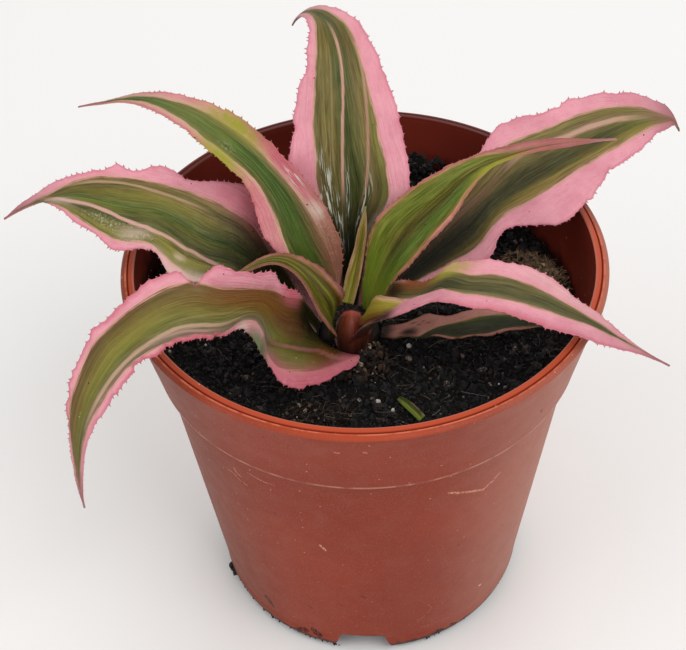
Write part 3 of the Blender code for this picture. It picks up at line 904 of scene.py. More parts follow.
RIGHT_FRONT_LOOK = LeafLook(
    green_left=(
        (0, 160), (20, 130), (30, 120), (40, 100), (46, 42), (60, 34), (70, 30), (80, 24), (100, 0),
    ),
    green_right=(
        (0, -120), (14, -90), (19, 70), (25, 40), (31, 0), (35, -10), (38, 7), (41, -30), (45, -60),
        (52, -58), (60, -50), (70, -40), (80, -20), (100, -5),
    ),
    band=(
        (0, "96785c"), (12, "6f6440"), (32, "4f4d30"), (55, "3a3d20"), (75, "47482c"), (90, "756a4c"),
        (100, "b08c78"),
    ),
    spots={
        Mark.YELLOW: ((41, 85, 6, 32, 75), (16, 20, 6, 120, 85)),
        Mark.RUSSET: ((2, 0, 16, 300),),
        Mark.RUST: ((32, 95, 5.5, 55),),
        Mark.SHADE_AND_SPECK: (
            (25, 70, 4.5, 35), (10, -75, 12, 70), (18.5, -35, 6, 80), (22.5, -85, 4.5, 60),
            (39, 25, 5, 25, 50),
        ),
        Mark.ROSE: ((60, -100, 25, 20, 60),),
        Mark.PALE: ((70, 75, 16, 30, 35),),
    },
    cream=0.7, base="6e3c2a", base_reach=0.22, base_share=0.95,
)
LOW_RIGHT_FORM = LeafForm(
    "leaf_low_right", CROWN.seat(343, 90.2), 42, turn=(-4, -9, -9, -10), climb=(21, 15, 6, 0),
    roll=(-4, -6, -3, -2), left=(2, 2, 3.5, 2.5, 4.5, 3.5, 2, 0), right=(2, 5, 6.5, 7.5, 7, 4.5, 2, 0),
    cup=(20, 15, 10, 5), ruffle=0.4, teeth=0.35,
)
LOW_RIGHT_LOOK = LeafLook(
    green_left=(
        (0, -200), (15, -260), (25, -190), (30, -140), (36, -90), (50, 0), (66, 50), (75, 75), (85, 80),
        (100, 40),
    ),
    green_right=((0, -140), (25, -125), (35, -97), (60, -95), (100, -60)),
    band=((0, "3f4f16"), (20, "1c2806"), (50, "121b04"), (80, "0e1503"), (100, "1f270a")),
    spots={
        Mark.SHADE_AND_SPECK: (
            (0, 0, 8, 300), (19, -60, 6, 45), (20, 50, 2.2, 10, 80), (23.5, 15, 1.4, 7, 90),
            (26, 42, 1.2, 6, 80), (29, 20, 1, 5, 70),
        ),
    },
    pink="ae7056", pale="825c38", rose="8c503c", cream=0.4, base="1d160d", tip="5f4632", streak_share=0.15,
)
CENTRE_FORM = LeafForm(
    "leaf_centre", CROWN.seat(96, 95.9), 26, turn=(66, 59, 64, 69), climb=(55, 60, 69, 76),
    roll=(9, 15, 13, 7), left=(1.5, 2, 2.5, 2.5, 2, 1.8, 1, 0), right=(1.5, 2, 2.5, 2.5, 2, 1.8, 1, 0),
    cup=(20, 50, 50, 45), ruffle=0, ragged=0.08, teeth=0.4,
)
CENTRE_LOOK = LeafLook(
    green_left=((0, 90), (80, 80), (100, 50)), green_right=((0, -90), (80, -80), (100, -50)),
    band=((0, "d4b67a"), (20, "bdb058"), (45, "cfc474"), (65, "9c9139"), (85, "b0a44c"), (100, "d2a878")),
    pink="cbaf70", pale="d6be84", rose="a8784c", cream=0.3, base="aaa347", base_share=0.4, tip="9a9056",
    streak_lines=14,
)
SHEATH_FORM = LeafForm(
    "crown_sheath", (-0.8, -18.1, 92.0), 12.5, turn=(94, 92, 88, 84), climb=(86, 70, 42, 18),
    roll=(0, 0, 0, 0), left=(3, 3.8, 4.3, 4.4, 3.8, 2.2), right=(3.4, 4.2, 4.9, 5, 4.3, 2.2),
    cup=(-20, -26, -26, -20), ruffle=0, ragged=0.35, teeth=0,
)
SHEATH_LOOK = LeafLook(
    green_left=((0, 90), (100, 86)), green_right=((0, -92), (100, -84)),
    band=((0, "3a1711"), (20, "70322b"), (50, "964a42"), (75, "883e35"), (100, "70392a")), pink="2c170f",
    pale="4a2a1c", rose="1f120c", cream=0.5, base="1f0d09", base_reach=0.95, base_share=1, tip="b4544c",
    streak_lines=12, streak_share=0.2,
)
BRACT_FORM = LeafForm(
    "crown_bract", (1.2, -14.8, 101.2), 19, turn=(-78, -38, -16, -8), climb=(48, 50, 28, 6),
    roll=(54, 52, 48, 45), left=(1, 2.4, 3.8, 4.2, 3.2, 2.2, 0.8), right=(0.8, 1.2, 1.6, 1.9, 2, 1.6, 0.5),
    cup=(-14, -22, -12, 0), ruffle=0.1, ragged=0.12, teeth=0,
)
BRACT_LOOK = LeafLook(
    green_left=((0, 95), (50, 88), (100, 40)), green_right=((0, -90), (60, -80), (100, -30)),
    band=((0, "bca465"), (15, "a3944a"), (40, "988c40"), (65, "8f7a3c"), (85, "7d4f34"), (100, "5c3c26")),
    pink="bd9c70", pale="b5a468", rose="94603f", cream=0.4, base="7c4432", base_share=0.9, tip="dc9294",
    streak_lines=10, streak_share=0.2,
)
SPROUT_FORM = LeafForm(
    "soil_sprout", (10.2, -30.4, 90.3), 8.8, turn=(-50, -51, -52, -52), climb=(10, 3, -4, -10),
    roll=(28, 28, 28, 28), left=(0.5, 0.9, 1.05, 1.05, 0.95), right=(0.5, 0.9, 1.05, 1.05, 0.95),
    cup=(20, 25, 25, 20), ruffle=0, ragged=0.05, teeth=0,
)
SPROUT_LOOK = LeafLook(
    green_left=((0, 120), (100, 120)), green_right=((0, -120), (100, -120)),
    band=((0, "2c3a0c"), (40, "42550f"), (60, "8a9a3a"), (75, "55701a"), (100, "6d8426")), base="2a330c",
    base_share=0.5, tip="6f7f2a", streak_lines=6,
)
LEAVES = (
    (BACK_FORM, BACK_LOOK),
    (UPPER_LEFT_FORM, UPPER_LEFT_LOOK),
    (LEFT_FORM, LEFT_LOOK),
    (FRONT_LEFT_FORM, FRONT_LEFT_LOOK),
    (YOUNG_CURLED_FORM, YOUNG_CURLED_LOOK),
    (RIGHT_BACK_FORM, RIGHT_BACK_LOOK),
    (RIGHT_INNER_FORM, RIGHT_INNER_LOOK),
    (RIGHT_FRONT_FORM, RIGHT_FRONT_LOOK),
    (LOW_RIGHT_FORM, LOW_RIGHT_LOOK),
    (CENTRE_FORM, CENTRE_LOOK),
)


def follow(line: Line, along: Array) -> Array:
    """Softened line through typed places.

    Args:
        line: Pairs of a share of the length and a value, both in hundredths.
        along: Shares of the length, in rising order.

    Returns:
        The value at each share.
    """
    fine = np.linspace(0.0, 1.0, 401)
    values = np.interp(fine, [place[0] / 100 for place in line], [place[1] / 100 for place in line])
    window = np.hanning(15)
    padded = np.pad(values, 7, mode="edge")
    return np.interp(along, fine, np.convolve(padded, window / window.sum(), mode="valid"))


def oval(along: Array, spread: Array, place: Union[Spot, Pull]) -> Array:
    """Squared distance of each point of a blade from the middle of a spot or a pull, its reach being 1."""
    lengthways = (along[:, None] - place.along) / place.reach
    return lengthways**2 + ((spread - place.across) / place.breadth) ** 2


@dataclass
class Blade:
    """Builds one finely divided, toothed leaf on the same form as its CAD solid."""

    form: LeafForm
    look: LeafLook
    ruffle_waves: float = 5.0
    ruffle_shift: float = 0.37
    full_ruffle_width: float = 8.0
    columns: int = 41
    crowding: float = 0.82
    row_step: float = 0.42
    midrib_steps: int = 480
    middle_thickness: float = 1.1
    margin_thickness: float = 0.4
    least_width: float = 0.28
    first_tooth: float = 0.1
    last_tooth: float = 0.965
    tooth_every: float = 1.5
    scallop: float = 0.14
    scallop_reach: float = 0.42
    wave_share: float = 0.45
    wave_fade: float = 0.85
    wave_lengths: tuple[float, ...] = (9.0, 6.1, 4.3, 3.1, 2.3, 1.6)
    teeth_at: dict[int, Array] = field(init=False)
    phases: Array = field(init=False)

    def __post_init__(self) -> None:
        """Draw the places of the teeth and the small waves of the margins."""
        draw = np.random.default_rng(len(self.form.name) * 31 + int(self.form.length))
        self.phases = draw.uniform(0, 2 * math.pi, (2, len(self.wave_lengths)))
        self.teeth_at = {}
        for side in (1, -1):
            steps = self.tooth_every * draw.uniform(0.55, 1.5, 200)
            places = self.first_tooth * self.form.length + np.cumsum(steps)
            self.teeth_at[side] = places[places < self.last_tooth * self.form.length]

    def rows(self) -> Array:
        """Fractions along the midrib, one for each row of points."""
        return np.linspace(0.0, 1.0, max(24, int(self.form.length / self.row_step)))

    def heading(self, along: Array) -> Array:
        """Direction of the midrib at each fraction."""
        turn, climb = (np.radians(smooth(angles, along)) for angles in (self.form.turn, self.form.climb))
        return np.stack([np.cos(climb) * np.cos(turn), np.cos(climb) * np.sin(turn), np.sin(climb)], 1)

    def midrib(self, along: Array) -> tuple[Array, ...]:
        """Line that the blade follows.

        Args:
            along: Fractions along it.

        Returns:
            Places, forward directions, directions to the left and directions up from the blade.
        """
        steps = self.midrib_steps
        ends = np.arange(steps + 1) / steps
        ahead = self.heading((np.arange(steps) + 0.5) / steps)
        points = np.vstack([np.zeros(3), np.cumsum(ahead, 0) * self.form.length / steps])
        points = points + np.array(self.form.root)
        place = np.stack([np.interp(along, ends, points[:, axis]) for axis in range(3)], 1)
        turn = np.radians(smooth(self.form.turn, along))
        roll = np.radians(smooth(self.form.roll, along))[:, None]
        forward = self.heading(along)
        level = np.stack([-np.sin(turn), np.cos(turn), 0 * turn], 1)
        normal = np.cross(forward, level)
        out = level * np.cos(roll) + normal * np.sin(roll)
        return place, forward, out, np.cross(forward, out)

    def plain_width(self, along: Array, side: int) -> Array:
        """Half widths on one side, as in the CAD solid."""
        stations = self.form.left if side > 0 else self.form.right
        return np.maximum(smooth(stations, along), self.least_width)

    def widths(self, along: Array, side: int) -> Array:
        """Half widths on one side, with the swings, waves and scallops of the margin.

        Args:
            along: Fractions from base to tip.
            side: 1 for the left margin, -1 for the right.

        Returns:
            One half width for each fraction.
        """
        plain = self.plain_width(along, side)
        width = plain.copy()
        for middle, reach, size in self.form.left_swings if side > 0 else self.form.right_swings:
            width = width + size * np.exp(-(((along - middle / 100) / (reach / 100)) ** 2))
        place = along * self.form.length
        share = np.clip((plain - 0.8) / 4.0, 0.0, 1.0)
        for index, (step, phase) in enumerate(zip(self.wave_lengths, self.phases[(side + 1) // 2])):
            size = share * self.form.ragged * self.wave_share * self.wave_fade**index
            width = width + size * np.sin(2 * math.pi * place / step + phase)
        for tooth in self.teeth_at[side]:
            width = width + share * self.scallop * np.exp(-(((place - tooth) / self.scallop_reach) ** 2))
        return np.maximum(width, self.least_width)

    def sheet(self, along: Array, across: Array) -> Grids:
        """Middle of the blade on a grid.

        Args:
            along: Fractions from base to tip, one for each row.
            across: Fractions from -1 at the right margin to 1 at the left, one for each column.

        Returns:
            Grids of places and of the numbers that the finish needs.
        """
        place, forward, out, up = self.midrib(along)
        spread = across[None, :] + 0 * along[:, None]
        width = np.where(spread >= 0, self.widths(along, 1)[:, None], self.widths(along, -1)[:, None])
        fold = np.radians(smooth(self.form.cup, along))[:, None]
        reach = np.abs(spread) * width
        wave = self.form.ruffle * np.abs(spread) ** 3 * np.minimum(1.0, width / self.full_ruffle_width)
        shift = np.where(across >= 0, 0.0, self.ruffle_shift)[None, :]
        wave = wave * np.sin(2 * np.pi * (self.ruffle_waves * along[:, None] + shift))
        lateral = np.sign(spread) * reach * np.cos(fold)
        lift = reach * np.sin(fold) + wave
        for stripe in self.look.stripes:
            if stripe.drop:
                beyond = spread * width - (follow(stripe.line, along) * self.plain_width(along, 1))[:, None]
                fade = self._span(stripe, along, 0.03)[:, None]
                lift = lift - stripe.drop * fade * np.clip(beyond / 0.9 + 0.3, 0.0, 1.0)
        points = place[:, None, :] + out[:, None, :] * lateral[..., None] + up[:, None, :] * lift[..., None]
        for pull in self.form.pulls:
            away = oval(along, spread, pull)
            points = points + np.exp(-away)[..., None] * np.array(pull.shift)
        return {"points": points, "spread": spread, "width": width, "forward": forward}

    @staticmethod
    def _span(stripe: Stripe, along: Array, soft: float) -> Array:
        """Share of a stripe at each row.

        Args:
            stripe: The stripe.
            along: Fractions from base to tip.
            soft: Length of the fade, as a fraction.

        Returns:
            1 along the stripe, fading out at both ends.
        """
        start, end = stripe.line[0][0] / 100, stripe.line[-1][0] / 100
        rise = np.clip((along - start) / soft, 0.0, 1.0)
        fall = np.clip((end - along) / soft, 0.0, 1.0)
        return rise * fall

    def bands(self, along: Array, grid: Grids) -> Grids:
        """Numbers that place the colours on the blade.

        Args:
            along: Fractions from base to tip.
            grid: What sheet gave for them.

        Returns:
            One grid for each attribute.
        """
        spread, width = grid["spread"], grid["width"]
        here = spread * width
        left = follow(self.look.green_left, along)
        right = follow(self.look.green_right, along)
        left_mm = (left * self.plain_width(along, 1))[:, None]
        half = np.where(right < 0, self.plain_width(along, -1), self.plain_width(along, 1))
        right_mm = (right * half)[:, None]
        values = {
            "lane": (left_mm - here) / np.maximum(left_mm - right_mm, 0.3),
            "rim": np.maximum(here - left_mm, right_mm - here),
            "edge": width - np.abs(here),
            "along": along[:, None] + 0 * spread,
            "along_mm": along[:, None] * self.form.length + 0 * spread,
            "across_mm": here,
        }
        for mark in Mark:
            patch = np.zeros_like(spread)
            for numbers in self.look.spots.get(mark, ()):
                spot = Spot(*(number / 100 for number in numbers))
                patch = np.maximum(patch, spot.strength * np.exp(-(oval(along, spread, spot) ** 1.5)))
            values[mark.value] = patch
        for index, stripe in enumerate(self.look.stripes):
            place = follow(stripe.line, along)[:, None]
            half = np.where(place >= 0, *(self.plain_width(along, side)[:, None] for side in (1, -1)))
            values[f"stripe_{index}"] = (here - place * half) / stripe.half_width
            span = self._span(stripe, along, 0.08)[:, None]
            values[f"stripe_span_{index}"] = span * stripe.strength + 0 * spread
        return values

    def mesh(self) -> Mesh:
        """Closed blade with a thick middle and thin margins.

        Returns:
            The mesh, with the numbers for its finish and its teeth.
        """
        along = self.rows()
        across = np.sin(np.linspace(-1, 1, self.columns) * np.pi / 2 * self.crowding)
        across = across / math.sin(np.pi / 2 * self.crowding)
        grid = self.sheet(along, across)
        points = grid["points"]
        normals = np.cross(np.gradient(points, axis=0), np.gradient(points, axis=1))
        normals /= np.linalg.norm(normals, axis=2, keepdims=True) + 1e-12
        taper = np.minimum(1.0, grid["width"] / 3.0)
        extra = self.middle_thickness - self.margin_thickness
        depth = self.margin_thickness + extra * (1 - across[None, :] ** 2)
        depth = depth * (0.35 + 0.65 * taper)
        outward = (points[:, -1] - points[:, -2], points[:, 0] - points[:, 1])
        outward = [side / (np.linalg.norm(side, axis=1, keepdims=True) + 1e-12) for side in outward]
        upper = points + normals * depth[..., None] / 2
        lower = points - normals * depth[..., None] / 2
        left_rim = points[:, -1] + outward[0] * depth[:, -1:] / 2
        right_rim = points[:, 0] + outward[1] * depth[:, :1] / 2
        ring = np.concatenate([upper, left_rim[:, None], lower[:, ::-1], right_rim[:, None]], axis=1)
        order = [*range(self.columns), self.columns - 1, *range(self.columns - 1, -1, -1), 0]
        rows, around = ring.shape[:2]
        mesh = bpy.data.meshes.new(self.form.name)
        mesh.from_pydata((ring.reshape(-1, 3) * MM).tolist(), [], self._faces(rows, around))
        for name, numbers in self.bands(along, grid).items():
            put_attribute(mesh, name, numbers[:, order].reshape(-1))
        face = np.zeros((rows, around))
        face[:, : self.columns] = 1.0
        face[:, self.columns] = face[:, -1] = 0.5
        put_attribute(mesh, "upper", face.reshape(-1))
        self._mark_teeth(mesh, (rows, around), outward, grid)
        make_outward(mesh)
        mesh.shade_smooth()
        return mesh

    def _faces(self, rows: int, around: int) -> list[list[int]]:
        """Faces of the closed blade: the skin, and both ends.

        Args:
            rows: Number of rings of points.
            around: Points in each ring.

        Returns:
            The faces, by numbers of points.
        """
        faces = []
        for row in range(rows - 1):
            for place in range(around):
                after = (place + 1) % around
                low, high = row * around, (row + 1) * around
                faces.append([low + place, low + after, high + after, high + place])
        for row in (0, rows - 1):
            start = row * around
            faces.append([start + self.columns - 1, start + self.columns, start + self.columns + 1])
            faces.append([start, start + around - 2, start + around - 1])
            for place in range(self.columns - 1):
                below = around - 2 - place
                faces.append([start + place, start + place + 1, start + below - 1, start + below])
        return faces

    def _mark_teeth(
        self, mesh: Mesh, shape: tuple[int, int], outward: Sequence[Array], grid: Grids
    ) -> None:
        """Mark the margin points that carry a tooth, with its direction and size.

        Args:
            mesh: The blade.
            shape: Number of rings and points in each.
            outward: Directions out of the left and the right margin.
            grid: What sheet gave for the blade.
        """
        marked = np.zeros(shape)
        direction = np.zeros((*shape, 3))
        size = np.zeros(shape)
        draw = np.random.default_rng(int(self.form.length * 7) + len(self.form.name))
        forward = grid["forward"]
        for column, side, out in ((self.columns, 1, outward[0]), (shape[1] - 1, -1, outward[1])):
            for place in self.teeth_at[side]:
                row = int(round(place / self.form.length * (shape[0] - 1)))
                width = grid["width"][row, -1 if side > 0 else 0]
                marked[row, column] = float(self.form.teeth > 0)
                lean = draw.uniform(0.3, 0.9)
                direction[row, column] = out[row] + lean * forward[row]
                size[row, column] = self.form.teeth * min(1.0, 0.4 + width / 8.0) * draw.uniform(0.5, 1.25)
        put_attribute(mesh, "tooth", marked.reshape(-1))
        put_attribute(mesh, "tooth_size", size.reshape(-1))
        put_attribute(mesh, "tooth_way", direction.reshape(-1, 3))


def put_attribute(mesh: Mesh, name: str, values: Array) -> None:
    """Store numbers or vectors on a mesh's points under a name.

    Args:
        mesh: The mesh.
        name: The attribute's name.
        values: A number or a row of three for each point.
    """
    kind, key = ("FLOAT", "value") if values.ndim == 1 else ("FLOAT_VECTOR", "vector")
    made = mesh.attributes.new(name, kind, "POINT")
    made.data.foreach_set(key, values.astype(np.float32).reshape(-1))


def make_outward(mesh: Mesh) -> None:
    """Turn a closed mesh's faces outwards.

    Args:
        mesh: The mesh, changed in place.
    """
    shape = bmesh.new()
    shape.from_mesh(mesh)
    bmesh.ops.recalc_face_normals(shape, faces=shape.faces)
    if shape.calc_volume(signed=True) < 0:
        bmesh.ops.reverse_faces(shape, faces=shape.faces)
    shape.to_mesh(mesh)
    shape.free()


def tooth_tree() -> NodeTree:
    """Geometry tree that sets a small spine on every marked point of a leaf's margin.

    Returns:
        The tree.
    """
    inputs = {
        "Blade": Kind.SHAPE,
        "Tooth Length": Kind.NUMBER,
        "Tooth Radius": Kind.NUMBER,
        "Finish": Kind.MATERIAL,
    }
    net, given, made = new_group("margin_teeth", inputs, {"Leaf": Kind.SHAPE}, "GeometryNodeTree")
    sizes = {"Radius Top": 0.0, "Radius Bottom": given["Tooth Radius"], "Depth": given["Tooth Length"]}
    cone = net.node("GeometryNodeMeshCone", {"Vertices": 5, "Side Segments": 2, **sizes})
    share = net.math("DIVIDE", net.split(net.position())[2], given["Tooth Length"])
    way = net.named("tooth_way", "FLOAT_VECTOR")
    instances = {
        "Points": given["Blade"],
        "Selection": net.math("GREATER_THAN", net.named("tooth"), 0.5),
        "Instance": net.store(cone.outputs["Mesh"], "tooth_tip", share),
        "Rotation": net.node("FunctionNodeAlignRotationToVector", {"Vector": way}, axis="Z").outputs[0],
        "Scale": net.named("tooth_size"),
    }
    teeth = net.node("GeometryNodeInstanceOnPoints", instances)
    real = net.node("GeometryNodeRealizeInstances", {0: teeth.outputs[0]})
    both = net.node("GeometryNodeJoinGeometry", {0: real.outputs[0]})
    net.feed(both.inputs[0], given["Blade"])
    net.finish(both.outputs[0], given["Finish"], made[0])
    return net.tree


@dataclass
class LeafFinish:
    """Waxy striped leaf skin with a pink margin."""

    look: LeafLook
    effects: SharedEffects
    roughness: float = 0.42
    specular: float = 0.22
    vividness: float = 1.12
    brightness: float = 0.96

    def material(self, name: str) -> Material:
        """Make the leaf's material.

        Args:
            name: The material's name.

        Returns:
            The material.
        """
        look = self.look
        material, net, shader = new_material(name)
        along, along_mm = net.attribute("along"), net.attribute("along_mm")
        flat = net.join(net.attribute("across_mm"), along_mm)
        lane = net.attribute("lane")
        lines = {"Lane": lane, "Along": along_mm, "Lines": look.streak_lines}
        broad, fine = net.placed(self.effects.streaks, lines)
        drift = net.sway(net.noise(flat, 0.16, 2), 0.05)
        colour = net.ramp(net.plus(lane, drift), look.band)
        grain = net.math("MULTIPLY_ADD", broad, 0.5, net.times(fine, 0.5))
        darker = net.mix(look.streak_share * 1.15, colour, "1a1e09")
        lighter = net.mix(look.streak_share * 0.5, colour, "a59d66")
        colour = net.mix(grain, darker, lighter)
        blotch = net.step(net.noise(flat, 0.07, 3), 0.45, 0.75, (0, 0.4 * look.streak_share))
        colour = net.mix(blotch, colour, "7d5a34")
        vivid = {"Saturation": self.vividness, "Value": self.brightness, "Color": colour}
        colour = net.node("ShaderNodeHueSaturation", vivid).outputs[0]
        # Darker bases are painted shade deep in the rosette; paler bases are the blade's own colour.
        base = net.step(along, 0.04, look.base_reach, (look.base_share, 0))
        colour = net.mix(base, colour, look.base)
        colour = self._stripes(net, colour, fine)
        colour = self._margin(net, colour, flat, fine)
        colour = net.mix(net.step(along, 0.86, 1, (0, 0.8)), colour, look.tip)
        colour = self._patches(net, colour, flat, fine)
        under = net.minus(1, net.step(net.attribute("upper"), 0.3, 0.6))
        dull = net.mix(net.step(along, 0.08, 0.25, (0, 0.4)), colour, look.under)
        colour = net.mix(under, colour, dull)
        colour = net.mix(net.step(net.attribute("tooth_tip"), 0.2, 0.9), colour, "8a4a40")
        gloss = net.step(net.noise(flat, 0.45, 3), 0.3, 0.7, (self.roughness - 0.08, self.roughness + 0.12))
        wet = net.minus(1, net.times(net.attribute(Mark.WET_AND_HIGHLIGHT.value), 0.6))
        ribs = net.plus(net.times(fine, 0.5), broad)
        ribs = net.plus(ribs, net.times(net.noise(flat, 1.6, 3), 0.5))
        skin = {
            "Base Color": colour,
            "Roughness": net.times(gloss, wet),
            "Specular IOR Level": self.specular,
            "Subsurface Weight": 0.1,
            "Subsurface Radius": (0.9, 0.45, 0.3),
            "Subsurface Scale": MM,
            "Normal": net.bump(ribs, 0.6, 0.25),
        }
        net.feed_all(shader, skin)
        return material

    def _stripes(self, net: Wiring, colour: NodeSocket, fine: NodeSocket) -> NodeSocket:
        """Lay the leaf's thin lines over the colour.

        Args:
            net: The material's wiring.
            colour: The colour so far.
            fine: The fine streaks.

        Returns:
            The colour with the lines on it.
        """
        for index, stripe in enumerate(self.look.stripes):
            away = net.math("ABSOLUTE", net.attribute(f"stripe_{index}"))
            near = net.step(net.plus(away, net.sway(fine, 0.5)), 0.35, 1.25, (1, 0))
            mask = net.times(near, net.attribute(f"stripe_span_{index}"))
            colour = net.mix(mask, colour, stripe.tone)
        return colour

    def _margin(self, net: Wiring, colour: NodeSocket, flat: NodeSocket, fine: NodeSocket) -> NodeSocket:
        """Lay the pale line and the pink margin over the band.

        Args:
            net: The material's wiring.
            colour: The colour so far.
            flat: Place on the blade, in mm.
            fine: The fine streaks.

        Returns:
            The colour with the margin on it.
        """
        look = self.look
        rim = net.attribute("rim")
        wander = net.sway(net.noise(flat, 0.22, 2), 0.8)
        place = net.plus(rim, net.plus(wander, net.sway(fine, 0.5)))
        cloud = net.step(net.noise(flat, 0.14, 3), 0.35, 0.7, (0, 0.55))
        pink = net.mix(cloud, look.pink, look.rose)
        veins = net.noise(net.join(net.times(rim, 2.2), net.attribute("along_mm"), 2), 0.5, 4)
        pink = net.mix(net.step(veins, 0.5, 0.75, (0, 0.4)), pink, look.rose)
        pink = net.mix(net.times(net.noise(flat, 1.3, 3, 0.65), 0.3), pink, "f2bcc4")
        pink = net.mix(net.step(place, 0.1, look.cream, (0.9, 0)), pink, look.pale)
        pink = net.mix(net.step(net.attribute("edge"), 0.05, 0.7, (0.5, 0)), pink, look.rose)
        return net.mix(net.step(place, -0.3, 0.3), colour, pink)

    def _patches(self, net: Wiring, colour: NodeSocket, flat: NodeSocket, fine: NodeSocket) -> NodeSocket:
        """Lay the leaf's patches, some painted light and shade, flecks and specks of dirt over the colour.

        Args:
            net: The material's wiring.
            colour: The colour so far.
            flat: Place on the blade, in mm.
            fine: The fine streaks.

        Returns:
            The colour with the patches on it.
        """
        ragged = net.noise(flat, 0.5, 4, 0.65)
        # The lit patches are a painted pool of light, and the near-black ones are mostly painted shade.
        for mark, tone in MARK_TONES.items():
            mask = net.times(net.attribute(mark.value), net.step(ragged, 0.2, 0.55, (0.6, 1)))
            colour = net.mix(mask, colour, tone)
        scribble = net.step(net.noise(flat, 1.5, 5, 0.75), 0.46, 0.66, (0, 0.8))
        colour = net.mix(net.times(net.attribute(Mark.SCURF.value), scribble), colour, "c4bd97")
        # Painted highlight: pale broken lines in the glossy spots.
        lines = net.step(fine, 0.55, 0.85, (0, 0.85))
        colour = net.mix(net.times(net.attribute(Mark.WET_AND_HIGHLIGHT.value), lines), colour, "e3e6da")
        place = net.scaled(flat, MM)
        for per_metre, share, size, tone in ((420.0, 0.06, 0.09, "1d140e"), (620.0, 0.04, 0.1, "c9bfa8")):
            dots = {"Place": place, "Per Metre": per_metre, "Share": share, "Size": size}
            colour = net.mix(net.placed(self.effects.specks, dots)[0], colour, tone)
        return colour


@dataclass
class Rosette:
    """Every leaf of the plant, with the sheath and the bract at the crown."""

    effects: SharedEffects
    tooth_length: float = 0.52
    tooth_radius: float = 0.2
    short_leaf: float = 50.0
    short_columns: int = 29

    def build(self) -> None:
        """Build the leaves, each with its own finish."""
        tree = tooth_tree()
        for form, look in (*LEAVES, (SPROUT_FORM, SPROUT_LOOK)):
            take_in(self._leaf(form, look, tree), form.name, form.name)
        for form, look in ((SHEATH_FORM, SHEATH_LOOK), (BRACT_FORM, BRACT_LOOK)):
            take_in(self._leaf(form, look, tree), "crown")

    def _leaf(self, form: LeafForm, look: LeafLook, tree: NodeTree) -> Object:
        """Build one leaf.

        Args:
            form: Its shape.
            look: Its colours.
            tree: The tree that sets the teeth.

        Returns:
            The finished leaf.
        """
        finish = LeafFinish(look, self.effects).material(form.name + "_skin")
        blade = Blade(form, look)
        if form.length < self.short_leaf:
            blade.columns = self.short_columns
        values = {
            "Tooth Length": self.tooth_length * MM,
            "Tooth Radius": self.tooth_radius * MM,
            "Finish": finish,
        }
        leaf = run_geometry(form.name + "_blade", blade.mesh(), tree, values)
        leaf.data.shade_smooth()
        return leaf


# Pot


@dataclass(frozen=True)
class Scuff:
    """Worn or dirty line on the pot's skin: places as arc from the front and height, in mm."""

    line: Line
    width: float
    tone: str


